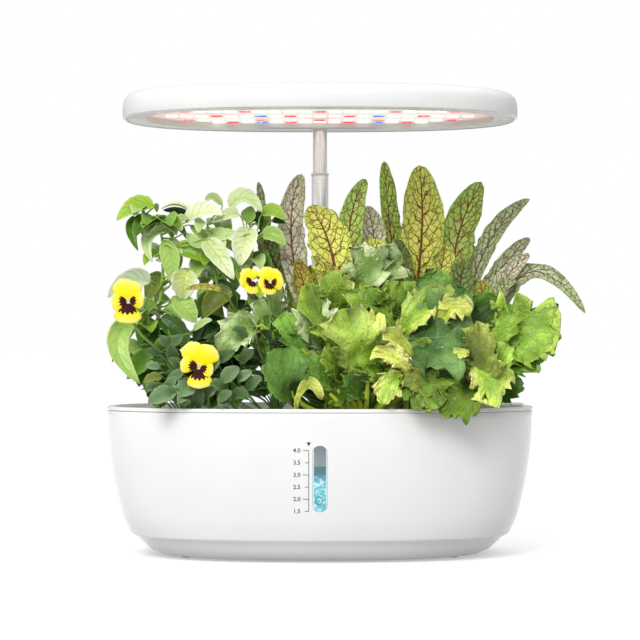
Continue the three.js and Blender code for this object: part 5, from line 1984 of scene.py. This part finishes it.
FIRST_PANSY_LEAVES = (
    Leaf((174, 390, -88), (162, 396, -96), (148, 403, -102), 19, Tone.DUSTY),
    Leaf((166, 392, -86), (170, 384, -90), (177, 377, -90), 11, Tone.DUSTY),
    Leaf((194, 380, -84), (186, 388, -90), (179, 397, -92), 20, Tone.DUSTY),
    Leaf((166, 384, -84), (176, 376, -88), (185, 368, -88), 11, Tone.DUSTY),
    Leaf((160, 368, -80), (152, 366, -82), (146, 367, -82), 9, Tone.DUSTY),
    Leaf((162, 377, -82), (152, 378, -86), (143, 383, -86), 10, Tone.OLIVE),
    Leaf((168, 346, -70), (164, 341, -72), (160, 336, -72), 10, Tone.DUSTY),
    Leaf((171, 346, -70), (177, 340, -72), (182, 335, -72), 10, Tone.DUSTY),
    Leaf((193, 331, -64), (202, 323, -68), (212, 320, -68), 8, Tone.PALE),
    Leaf((160, 356, -72), (152, 352, -76), (145, 354, -78), 10, Tone.PINE),
    Leaf((176, 364, -78), (172, 354, -82), (170, 344, -82), 12, Tone.PINE),
    Leaf((206, 396, -84), (212, 388, -90), (219, 379, -90), 13, Tone.DUSTY),
    Leaf((180, 402, -86), (174, 394, -92), (168, 388, -92), 13, Tone.PINE),
    Leaf((196, 408, -82), (198, 398, -90), (202, 388, -92), 14, Tone.PINE),
    Leaf((182, 374, -80), (176, 364, -84), (168, 360, -86), 12, Tone.PINE),
    Leaf((208, 372, -84), (214, 364, -88), (220, 360, -88), 12, Tone.DUSTY),
    Leaf((186, 406, -80), (184, 398, -90), (178, 404, -96), 14, Tone.DUSTY),
    Leaf((158, 392, -84), (152, 388, -90), (146, 392, -92), 10, Tone.PINE),
)

SECOND_PANSY_LEAVES = (
    Leaf((222, 382, -92), (230, 374, -94), (239, 367, -92), 15, Tone.DUSTY),
    Leaf((217, 400, -94), (224, 396, -98), (232, 391, -98), 11, Tone.DUSTY),
    Leaf((218, 362, -80), (226, 356, -84), (235, 351, -84), 12, Tone.PINE),
    Leaf((238, 380, -86), (244, 376, -90), (252, 371, -90), 11, Tone.DUSTY),
    Leaf((232, 398, -90), (240, 394, -96), (248, 400, -98), 14, Tone.PINE),
    Leaf((240, 364, -78), (246, 356, -82), (254, 350, -82), 12, Tone.PINE),
    Leaf((228, 392, -88), (220, 386, -94), (210, 384, -96), 13, Tone.PINE),
    Leaf((248, 390, -84), (254, 382, -90), (262, 378, -92), 13, Tone.DUSTY),
    Leaf((230, 404, -88), (226, 400, -94), (218, 406, -98), 13, Tone.DUSTY),
    Leaf((246, 340, -70), (240, 332, -74), (232, 330, -76), 11, Tone.PINE),
)

FIRST_SORREL_LEAVES = (
    Leaf((302, 306, 11), (291, 226, 16), (302, 174, 20), 27, Tone.ASH),
    Leaf((341, 316, -4), (330, 246, -9), (309, 206, -10), 44, Tone.GOLD),
    Leaf((309, 312, -10), (303, 282, -12), (296, 259, -16), 21, Tone.AMBER),
    Leaf((350, 300, 5), (350, 226, 5), (366, 179, 6), 27, Tone.FRESH, 10, 1, 1.6),
    Leaf((329, 240, 50), (323, 225, 50), (313, 221, 50), 13, Tone.FRESH),
    Leaf((372, 286, 20), (374, 240, 24), (367, 206, 26), 26, Tone.ASH),
    Leaf((334, 312, -8), (331, 282, -10), (316, 266, -12), 25, Tone.AMBER),
    Leaf((282, 286, 22), (270, 252, 26), (258, 232, 28), 24, Tone.NIGHT),
    Leaf((261, 232, 28), (260, 205, 30), (258, 182, 32), 12, Tone.ASHEN, 40),
    Leaf((222, 291, -40), (204, 287, -42), (186, 289, -40), 7, Tone.AMBER),
    Leaf((358, 276, 12), (372, 254, 16), (380, 240, 20), 30, Tone.GOLD),
)

SECOND_SORREL_LEAVES = (
    Leaf((399, 310, 56), (390, 225, 53), (384, 161, 50), 21, Tone.FRESH, 10, 1, 1.8),
    Leaf((411, 326, 52), (422, 234, 50), (419, 165, 44), 46, Tone.GOLD, 0, 1, 0.6),
    Leaf((452, 318, 54), (457, 242, 53), (482, 182, 50), 38, Tone.FRESH),
    Leaf((468, 300, 55), (492, 238, 54), (530, 199, 52), 21, Tone.ASHEN, -10, 1, 0.6),
    Leaf((476, 305, 52), (505, 264, 50), (530, 238, 46), 18, Tone.ASHEN, 0, 1, 0.6),
    Leaf((478, 318, 50), (504, 280, 45), (530, 254, 40), 19, Tone.ASH, 0, 1, 0.6),
    Leaf((490, 336, 44), (530, 272, 40), (585, 313, 22), 19, Tone.ASHEN),
    Leaf((458, 322, 36), (460, 286, 34), (466, 262, 34), 31, Tone.NIGHT),
    Leaf((476, 330, 38), (482, 302, 36), (480, 280, 34), 26, Tone.AMBER),
    Leaf((430, 320, 40), (440, 276, 38), (446, 244, 36), 30, Tone.GOLD, 20),
    Leaf((488, 322, 40), (500, 292, 38), (516, 280, 36), 18, Tone.ASHEN),
    Leaf((404, 312, 44), (402, 268, 44), (398, 240, 42), 24, Tone.NIGHT),
)

FIRST_LETTUCE_LEAVES = (
    Leaf((262, 326, -60), (240, 330, -66), (221, 354, -70), 38, Tone.FROST),
    Leaf((262, 332, -60), (262, 315, -60), (256, 300, -60), 22, Tone.FROST),
    Leaf((286, 326, -50), (276, 305, -54), (282, 288, -50), 20, Tone.FROST, 0, 1, 1.6),
    Leaf((306, 354, -66), (292, 335, -68), (278, 318, -66), 24, Tone.MID),
    Leaf((294, 398, -84), (286, 376, -96), (284, 348, -84), 44, Tone.FERN, 0, 1, 0.25),
    Leaf((298, 398, -92), (310, 384, -98), (322, 400, -100), 14, Tone.SUN, 0, 2.2, 0.3),
    Leaf((276, 350, -56), (270, 332, -60), (262, 316, -60), 30, Tone.DEEP),
    Leaf((290, 356, -50), (292, 336, -56), (298, 314, -56), 34, Tone.DEEP),
    Leaf((352, 366, -60), (326, 322, -72), (306, 286, -66), 34, Tone.MOSS),
    Leaf((330, 350, -60), (316, 322, -68), (320, 294, -66), 42, Tone.FROST),
    Leaf((378, 376, -70), (360, 345, -86), (338, 310, -88), 60, Tone.CHARTREUSE),
    Leaf((410, 354, -88), (396, 340, -92), (382, 334, -92), 22, Tone.SUN, 0, 2.0, 0.8),
    Leaf((408, 370, -90), (392, 357, -97), (372, 352, -97), 22, Tone.SUN, 0, 1.2, 1.6),
    Leaf((402, 376, -92), (390, 386, -99), (382, 404, -101), 26, Tone.CHARTREUSE, 0, 1, 1.4),
    Leaf((352, 388, -70), (340, 366, -82), (330, 344, -84), 36, Tone.MOSS),
    Leaf((336, 392, -70), (322, 372, -80), (306, 356, -80), 32, Tone.MID),
    Leaf((366, 396, -76), (356, 384, -90), (352, 372, -94), 30, Tone.DEEP),
    Leaf((330, 404, -74), (342, 392, -88), (350, 384, -92), 26, Tone.MOSS),
)

SECOND_LETTUCE_LEAVES = (
    Leaf((405, 370, -88), (424, 389, -102), (441, 407, -108), 46, Tone.MOSS, 0, 1, 1.2),
    Leaf((478, 380, -88), (462, 400, -102), (440, 414, -108), 42, Tone.MOSS, 0, 1, 1.2),
    Leaf((468, 358, -84), (488, 380, -96), (488, 406, -104), 38, Tone.CHARTREUSE),
    Leaf((494, 352, -50), (524, 335, -62), (560, 334, -66), 72, Tone.LIME, 0, 1, 1.3),
    Leaf((480, 390, -84), (482, 356, -94), (477, 323, -90), 36, Tone.OLIVE, 0, 1, 1.5),
    Leaf((486, 392, -80), (497, 368, -86), (507, 343, -80), 26, Tone.LIME),
    Leaf((494, 350, -56), (505, 327, -60), (517, 308, -58), 28, Tone.LIME, 0, 1, 1.4),
    Leaf((452, 360, -96), (460, 354, -98), (469, 356, -98), 14, Tone.SUN, 0, 2.0),
    Leaf((500, 372, -60), (520, 362, -66), (538, 352, -66), 36, Tone.MID),
    Leaf((490, 396, -70), (506, 388, -78), (520, 378, -78), 32, Tone.DEEP),
    Leaf((440, 396, -90), (420, 384, -100), (404, 386, -104), 30, Tone.OLIVE),
    Leaf((450, 390, -84), (452, 372, -92), (444, 356, -92), 34, Tone.DEEP),
)

THIRD_LETTUCE_LEAVES = (
    Leaf((352, 300, -20), (373, 278, -32), (402, 254, -36), 54, Tone.FROST, 0, 1, 1.4),
    Leaf((360, 290, -24), (368, 266, -34), (372, 246, -34), 44, Tone.FROST, 0, 1, 1.2),
    Leaf((402, 340, -62), (436, 336, -87), (474, 342, -83), 86, Tone.SEA, 0, 0.9, 0.7),
    Leaf((400, 336, -66), (424, 306, -72), (456, 292, -68), 34, Tone.CHARTREUSE, 0, 1, 1.2),
    Leaf((438, 328, -76), (452, 308, -82), (470, 316, -82), 26, Tone.SUN, 0, 1, 1.4),
    Leaf((392, 330, -60), (372, 308, -70), (362, 286, -68), 46, Tone.LIME),
    Leaf((400, 330, -56), (398, 306, -64), (400, 282, -62), 46, Tone.MOSS),
    Leaf((410, 322, -50), (428, 296, -56), (440, 268, -52), 46, Tone.MID),
    Leaf((420, 330, -40), (444, 310, -46), (466, 288, -42), 44, Tone.DEEP),
    Leaf((378, 350, -66), (368, 330, -76), (356, 316, -78), 34, Tone.MID),
    Leaf((408, 366, -76), (420, 356, -84), (432, 376, -88), 34, Tone.MOSS),
    Leaf((430, 344, -30), (470, 318, -34), (500, 300, -30), 40, Tone.DEEP),
    Leaf((344, 316, -40), (336, 292, -50), (330, 270, -50), 40, Tone.CHARTREUSE),
)

FIRST_PANSY_FLOWERS = (
    Flower((128, 301, -71), (
        ((120, 279, -67), 21, 0), ((135, 281, -67), 19, 0),
        ((111, 303, -73), 19, 1), ((144, 300, -73), 17, 1), ((127, 324, -76), 28, 2),
    )),
    Flower((199, 367, -92), (
        ((189, 342, -88), 22, 0), ((213, 346, -88), 24, 0),
        ((180, 363, -94), 17, 1), ((213, 373, -94), 15, 1), ((200, 389, -97), 24, 2),
    )),
)

SECOND_PANSY_FLOWERS = (
    Flower((270, 282, -66), (
        ((263, 267, -62), 16, 0), ((277, 269, -62), 16, 0),
        ((258, 284, -68), 13, 1), ((284, 283, -68), 15, 1), ((268, 295, -70), 15, 2),
    )),
    Flower((253, 280, -64), (
        ((242, 270, -61), 13, 0), ((254, 269, -61), 11, 0),
        ((239, 282, -66), 13, 1), ((251, 294, -68), 15, 1),
    )),
)


@dataclass
class Garden(Assembly):
    """The ten plants, each with the leaves that the photograph shows and those of its far side."""

    def first_basil(self) -> None:
        """Grow the tall basil at the left end."""
        plant = Plant("basil_1", Kind.BASIL, Tone.MEADOW, 11)
        plant.stem((158, 415, 4), (154, 355, 2), (161, 292, 4), (163, 262, 2), (162, 240, 0), (159, 226, -2))
        plant.stem((158, 415, 4), (150, 372, -4), (146, 345, -6), (143, 312, -8))
        plant.stem((159, 228, -2), (150, 218, -2), (141, 210, -2), thick=1.0, thin=0.8)
        plant.show(0.8, FIRST_BASIL_LEAVES)
        plant.rear((-119, 30, 236), 24, Tone.MEADOW, (-131, 2, 238), (0, 6, 6))
        plant.rear((-166, 32, 186), 26, Tone.MID, (-136, 2, 190), (-4, 4, 12), (-0.5, 0.6, 0.6))
        plant.rear((-172, -6, 158), 22, Tone.MID, (-144, -4, 150), (-2, 0, 8), (-0.6, 0, 0.8))
        plant.rear((-140, 34, 206), 24, Tone.PALE, (-132, 4, 215), (-2, 4, 8))
        plant.rear((-152, 28, 150), 24, Tone.DEEP, (-136, 2, 150), (-2, 4, 8))
        plant.rear((-118, 32, 170), 24, Tone.MID, (-136, 2, 165), (2, 4, 8))
        # darker pairs low down, paler ones at the top: painted shade below, painted highlight above
        plant.pairs([Tone.DEEP, Tone.MID, Tone.MEADOW, Tone.LIME, Tone.PALE], 150, 27, 25, 15)
        plant.fill(10, [Tone.DEEP, Tone.MID, Tone.DARK], 42, 70, 24)
        plant.finish(self.skins)

    def second_basil(self) -> None:
        """Grow the basil with two stems beside it."""
        plant = Plant("basil_2", Kind.BASIL, Tone.MEADOW, 12)
        plant.stem((235, 415, 4), (228, 352, 2), (218, 290, 0), (211, 250, -2), (207, 222, -2))
        plant.stem((235, 415, 4), (245, 345, 2), (250, 282, 0), (253, 240, -2))
        plant.show(0.8, SECOND_BASIL_LEAVES)
        plant.rear((-100, 36, 236), 24, Tone.MEADOW, (-88, 0, 225), (-2, 4, 8))
        plant.rear((-50, 38, 236), 24, Tone.PALE, (-60, 2, 230), (2, 4, 8))
        plant.rear((-78, 36, 262), 24, Tone.LIME, (-90, 0, 262), (0, 6, 8))
        plant.rear((-44, 34, 268), 22, Tone.LIME, (-57, 0, 270), (0, 4, 6))
        plant.rear((-76, 38, 200), 24, Tone.MID, (-86, 0, 200), (0, 4, 8))
        plant.rear((-52, 36, 180), 26, Tone.MID, (-64, 4, 180), (0, 4, 8))
        # darker pairs low down, paler ones at the top: painted shade below, painted highlight above
        plant.pairs([Tone.DEEP, Tone.MID, Tone.MEADOW, Tone.LIME, Tone.PALE], 150, 27, 25, 15)
        plant.fill(10, [Tone.DEEP, Tone.MID, Tone.DARK], 40, 80, 24)
        plant.finish(self.skins)

    def third_basil(self) -> None:
        """Grow the basil in the back row."""
        plant = Plant("basil_3", Kind.BASIL, Tone.MEADOW, 13)
        trunk = [plant.crown, Vector((-99, 62, 165)), Vector((-97, 64, 215)), Vector((-100, 62, 250))]
        plant.stems.append(trunk)
        plant.stalks.append((trunk, 1.9, 1.0))
        tiers = ((250, 30, 20), (226, 34, 65), (200, 38, 10), (174, 38, 50), (150, 34, 100))
        room = 35  # from the stem to the tub's rear edge
        # tiers go from pale at the top to dark low down: painted highlight above, painted shade below
        tones = [Tone.LIME, Tone.MEADOW, Tone.MID, Tone.DEEP, Tone.DEEP]
        for (height, reach, turn), tone in zip(tiers, tones):
            for quarter in range(4):
                angle = math.radians(turn + 90 * quarter)
                out = Vector((math.cos(angle), math.sin(angle), 0))
                start = Vector((-99, 62.5, height))
                span = min(reach, room / out.y) if out.y > 0.3 else reach
                tip = start + out * span + Vector((0, 0, 4 - 0.2 * span))
                face = out * 0.35 + Vector((0, 0, 0.9))
                plant.rear(tuple(tip), 24, tone, tuple(start), (0, 0, 8), tuple(face), 0.8)
        plant.fill(9, [Tone.DEEP, Tone.MID], 34, 50, 24, (20, 200))
        plant.finish(self.skins)

    def first_pansy(self) -> None:
        """Grow the pansy with the two flowers at the left."""
        plant = Plant("pansy_1", Kind.PANSY, Tone.MID, 21)
        plant.stem((193, 415, -52), (163, 356, -62), (136, 328, -70), (131, 312, -68), thick=1.3, thin=0.9)
        plant.stem((193, 415, -52), (205, 384, -70), (194, 366, -84), thick=1.3, thin=0.9)
        plant.stem((193, 415, -52), (176, 356, -60), (168, 330, -62), thick=1.2, thin=0.7)
        plant.show(0.7, FIRST_PANSY_LEAVES)
        plant.rear((-110, -24, 150), 16, Tone.PINE, None, (0, 2, 8))
        plant.fill(26, [Tone.PINE, Tone.DUSTY, Tone.DEEP], 40, 58, 16)
        plant.fill(12, [Tone.PINE, Tone.DARK], 30, 80, 15, (150, 400), 0.5)
        self.bloom(plant, FIRST_PANSY_FLOWERS)
        plant.finish(self.skins)

    def second_pansy(self) -> None:
        """Grow the pansy with the two smaller flowers."""
        plant = Plant("pansy_2", Kind.PANSY, Tone.MID, 22)
        plant.stem((278, 415, -52), (268, 356, -58), (252, 308, -60), (246, 286, -62), thick=1.3, thin=0.9)
        plant.stem((268, 356, -58), (270, 310, -62), (268, 284, -64), thick=1.2, thin=0.9)
        plant.show(0.7, SECOND_PANSY_LEAVES)
        plant.fill(24, [Tone.PINE, Tone.DUSTY, Tone.DEEP], 40, 50, 16)
        plant.fill(10, [Tone.PINE, Tone.DARK], 30, 80, 15, (60, 330), 0.5)
        self.bloom(plant, SECOND_PANSY_FLOWERS)
        plant.finish(self.skins)

    def bloom(self, plant: Plant, flowers: tuple[Flower, ...]) -> None:
        """Add a plant's flowers.

        Args:
            plant: The plant.
            flowers: Its flowers.
        """
        petals: list[Object] = []
        for flower in flowers:
            petals += flower.build(plant)
        made = merge(petals)
        pick(made)
        bpy.ops.object.shade_smooth()
        mount(made, f"{plant.name}_flowers", self.skins.petal, Body.DECK, "pansy_leaf")

    def first_sorrel(self) -> None:
        """Grow the red-veined sorrel in the middle."""
        plant = Plant("sorrel_1", Kind.SORREL, Tone.OLIVE, 31)
        plant.show(1.7, FIRST_SORREL_LEAVES)
        plant.rear((-28, 52, 276), 24, Tone.FRESH, None, (0, 6, 0), stalk=1.7)
        plant.rear((34, 56, 268), 24, Tone.GOLD, None, (6, 6, 0), stalk=1.7)
        plant.rear((-58, 46, 216), 24, Tone.ASHEN, None, (0, 4, 10), (-0.5, 0.7, 0.4), stalk=1.6)
        plant.rear((-8, 46, 240), 26, Tone.GOLD, None, (-4, 6, 0), stalk=1.6)
        plant.rear((50, 44, 226), 24, Tone.FRESH, None, (4, 6, 0), (0.4, 0.8, 0.4), stalk=1.6)
        plant.rear((-40, 30, 190), 22, Tone.NIGHT, None, (-4, 6, 4), (-0.4, 0.6, 0.5), stalk=1.4)
        plant.finish(self.skins)

    def second_sorrel(self) -> None:
        """Grow the red-veined sorrel at the right."""
        plant = Plant("sorrel_2", Kind.SORREL, Tone.OLIVE, 32)
        plant.show(1.8, SECOND_SORREL_LEAVES)
        plant.rear((132, 86, 262), 27, Tone.FRESH, None, (0, 4, 4), stalk=1.7)
        plant.rear((66, 90, 266), 27, Tone.GOLD, None, (0, 4, 0), stalk=1.7)
        plant.rear((106, 96, 230), 25, Tone.ASHEN, None, (0, 6, 6), stalk=1.7)
        plant.rear((84, 94, 206), 26, Tone.FRESH, None, (-4, 6, 6), stalk=1.6)
        plant.rear((146, 84, 218), 24, Tone.GOLD, None, (4, 4, 6), (0.4, 0.8, 0.4), stalk=1.6)
        plant.rear((56, 86, 200), 24, Tone.NIGHT, None, (-4, 4, 6), (-0.4, 0.8, 0.4), stalk=1.6)
        plant.rear((128, 92, 180), 24, Tone.NIGHT, None, (4, 6, 6), stalk=1.5)
        plant.finish(self.skins)

    def first_lettuce(self) -> None:
        """Grow the lettuce at the middle of the front row."""
        plant = Plant("lettuce_1", Kind.LETTUCE, Tone.SUN, 41)
        plant.show(2.6, FIRST_LETTUCE_LEAVES)
        self.ribs(plant)
        plant.fill(9, [Tone.DEEP, Tone.MID, Tone.MOSS], 36, 60, 34, (150, 390), 0.4)
        plant.fill(6, [Tone.DARK, Tone.DEEP], 26, 44, 26, (180, 360), 0.2)
        plant.finish(self.skins)

    def ribs(self, plant: Plant) -> None:
        """Add the pale ribs that fan out of the middle lettuce at the deck.

        Args:
            plant: The lettuce.
        """
        foot = PHOTO.spot((364, 416, -56))
        for down, across in ((386, 346), (384, 356), (390, 338), (380, 368), (394, 330)):
            end = PHOTO.spot((across, down, -84))
            plant.stalks.append(([foot, foot.lerp(end, 0.5) + Vector((0, -8, -4)), end], 3.2, 1.4))

    def second_lettuce(self) -> None:
        """Grow the lettuce at the right of the front row."""
        plant = Plant("lettuce_2", Kind.LETTUCE, Tone.SUN, 42)
        plant.show(2.4, SECOND_LETTUCE_LEAVES)
        plant.rear((174, -38, 190), 34, Tone.MID, None, (-4, 6, 10), (0.5, 0.4, 0.7), 2.0)
        plant.rear((150, -30, 206), 36, Tone.LIME, None, (0, 6, 10), (0.2, 0.7, 0.7), 2.0)
        plant.fill(8, [Tone.DEEP, Tone.MID, Tone.MOSS], 38, 60, 34, (190, 360), 0.3)
        plant.finish(self.skins)

    def third_lettuce(self) -> None:
        """Grow the tall lettuce of the middle row."""
        plant = Plant("lettuce_3", Kind.LETTUCE, Tone.SUN, 43)
        plant.show(2.6, THIRD_LETTUCE_LEAVES)
        plant.rear((58, 46, 218), 44, Tone.LIME, None, (0, 4, 14), stalk=2.2)
        plant.rear((102, 26, 196), 38, Tone.MOSS, None, (0, 2, 12), (0.5, 0.6, 0.6), 2.2)
        plant.rear((30, 20, 230), 40, Tone.CHARTREUSE, None, (-2, 2, 12), (-0.3, 0.7, 0.6), 2.2)
        plant.rear((84, 36, 176), 40, Tone.MID, None, (0, 6, 12), stalk=2.2)
        plant.rear((40, 40, 176), 36, Tone.MID, None, (-2, 6, 12), stalk=2.2)
        plant.fill(7, [Tone.DEEP, Tone.MID], 34, 70, 34, (20, 200), 0.4)
        plant.finish(self.skins)

    def build(self) -> None:
        """Grow all ten plants."""
        basils = (self.first_basil, self.second_basil, self.third_basil)
        middle = (self.first_pansy, self.second_pansy, self.first_sorrel, self.second_sorrel)
        for grow in (*basils, *middle, self.first_lettuce, self.second_lettuce, self.third_lettuce):
            grow()


# Studio


@dataclass(frozen=True)
class Rise:
    """Brightness that goes smoothly from start to end as the view turns to a direction.

    Low and high are the cosines of the angles where it begins and ends.
    """

    direction: Point
    low: float
    high: float
    start: float
    end: float

    def build(self, sheet: NodeTree) -> NodeSocket:
        """Add its nodes.

        Args:
            sheet: The world's nodes.

        Returns:
            The brightness's socket.
        """
        product = sheet.tree.nodes.new("ShaderNodeVectorMath")
        product.operation = "DOT_PRODUCT"
        product.inputs[1].default_value = self.direction
        sheet.feed(product.inputs[0], sheet.coordinates.outputs["Generated"])
        return sheet.ramp(product.outputs["Value"], self.low, self.high, self.start, self.end)


@dataclass
class Studio:
    """Pale floor, soft light and the world around the garden."""

    floor_size: float = 60.0
    floor_colour: Colour = (206, 206, 206)
    floor_bounce: Colour = (168, 168, 168)
    floor_glow: float = 0.45
    fill: float = 1.18
    key_watts: float = 50.0
    key_place: Point = (-0.9, -2.2, 2.0)
    key_size: float = 1.3
    key_aim: Point = (0, 0, 0.2)
    right: Rise = Rise((0.93, -0.37, 0), 0.45, 0.95, 1.0, 0.42)
    left: Rise = Rise((-0.94, -0.34, 0), 0.45, 0.95, 1.0, 0.5)
    above: Rise = Rise((-0.15, -0.3, 0.94), -0.75, 0.8, 0.12, 1.0)
    dark_band: Rise = Rise((0.82, -0.57, 0), 0.8, 0.98, 1.0, 0.4)
    lobe: Rise = Rise((-0.5, -0.8, 0.33), 0.1, 0.95, 0.6, 1.15)

    def floor(self) -> None:
        """Add the floor, whose own faint glow only the camera and reflections see."""
        deselect()
        bpy.ops.mesh.primitive_plane_add(size=self.floor_size)
        plane = bpy.context.object
        plane.name = "studio_floor"
        sheet = NodeSheet("studio_floor")
        rays = sheet.tree.nodes.new("ShaderNodeLightPath")
        bright = sheet.math("MAXIMUM", rays.outputs["Is Camera Ray"], rays.outputs["Is Glossy Ray"])
        glow = sheet.math("MULTIPLY", bright, self.floor_glow)
        seen = sheet.mix(bright, linear(self.floor_bounce), linear(self.floor_colour))
        sheet.surface(base_color=seen, roughness=0.9, specular_ior_level=0.0)
        sheet.surface(emission_color=(1, 1, 1, 1), emission_strength=glow)
        plane.data.materials.append(sheet.material)

    def key(self) -> None:
        """Add the large soft lamp in front, above and to the left."""
        deselect()
        bpy.ops.object.light_add(type="AREA", location=self.key_place)
        lamp = bpy.context.object
        lamp.data.energy = self.key_watts
        lamp.data.size = self.key_size
        lamp.data.shape = "SQUARE"
        aim = Vector(self.key_aim) - Vector(self.key_place)
        lamp.rotation_euler = aim.to_track_quat("-Z", "Y").to_euler()

    def world(self) -> None:
        """Set a world that is white to the camera, soft to matt surfaces and banded to gloss."""
        world = bpy.data.worlds.new("studio")
        bpy.context.scene.world = world
        world.use_nodes = True
        tree = world.node_tree
        tree.nodes.clear()
        sheet = NodeTree(tree)
        out = tree.nodes.new("ShaderNodeOutputWorld")
        rays = tree.nodes.new("ShaderNodeLightPath")

        def background(strength: object) -> NodeSocket:
            """Add a white background of a strength that may be a socket."""
            node = tree.nodes.new("ShaderNodeBackground")
            sheet.feed(node.inputs["Color"], (1, 1, 1, 1))
            sheet.feed(node.inputs["Strength"], strength)
            return node.outputs[0]

        def blend(ray: str, first: NodeSocket, second: NodeSocket) -> NodeSocket:
            """Show one background, and a second one to one kind of ray."""
            node = tree.nodes.new("ShaderNodeMixShader")
            for socket, value in zip(node.inputs, (rays.outputs[ray], first, second)):
                tree.links.new(value, socket)
            return node.outputs[0]

        sides = sheet.math("MULTIPLY", self.right.build(sheet), self.left.build(sheet))
        above = sheet.math("MULTIPLY", self.above.build(sheet), self.fill)
        soft = background(sheet.math("MULTIPLY", sides, above))
        gloss = background(sheet.math("MULTIPLY", self.dark_band.build(sheet), self.lobe.build(sheet)))
        white = background(1.0)
        seen = blend("Is Glossy Ray", soft, gloss)
        seen = blend("Is Transmission Ray", seen, white)
        seen = blend("Is Camera Ray", seen, white)
        tree.links.new(seen, out.inputs["Surface"])

    def build(self) -> None:
        """Set the whole studio."""
        self.floor()
        self.key()
        self.world()
        PHOTO.camera()
        bpy.context.scene.view_settings.view_transform = "Standard"


def main() -> None:
    """Build the garden over its frame, piece by piece."""
    finishes = Finishes()
    for assembly in (Tub, Deck, Post, LightHead, Garden):
        assembly(finishes).build()
    Studio().build()


if __name__ == "__main__":
    logging.basicConfig(level=logging.INFO, format="%(message)s")
    main()
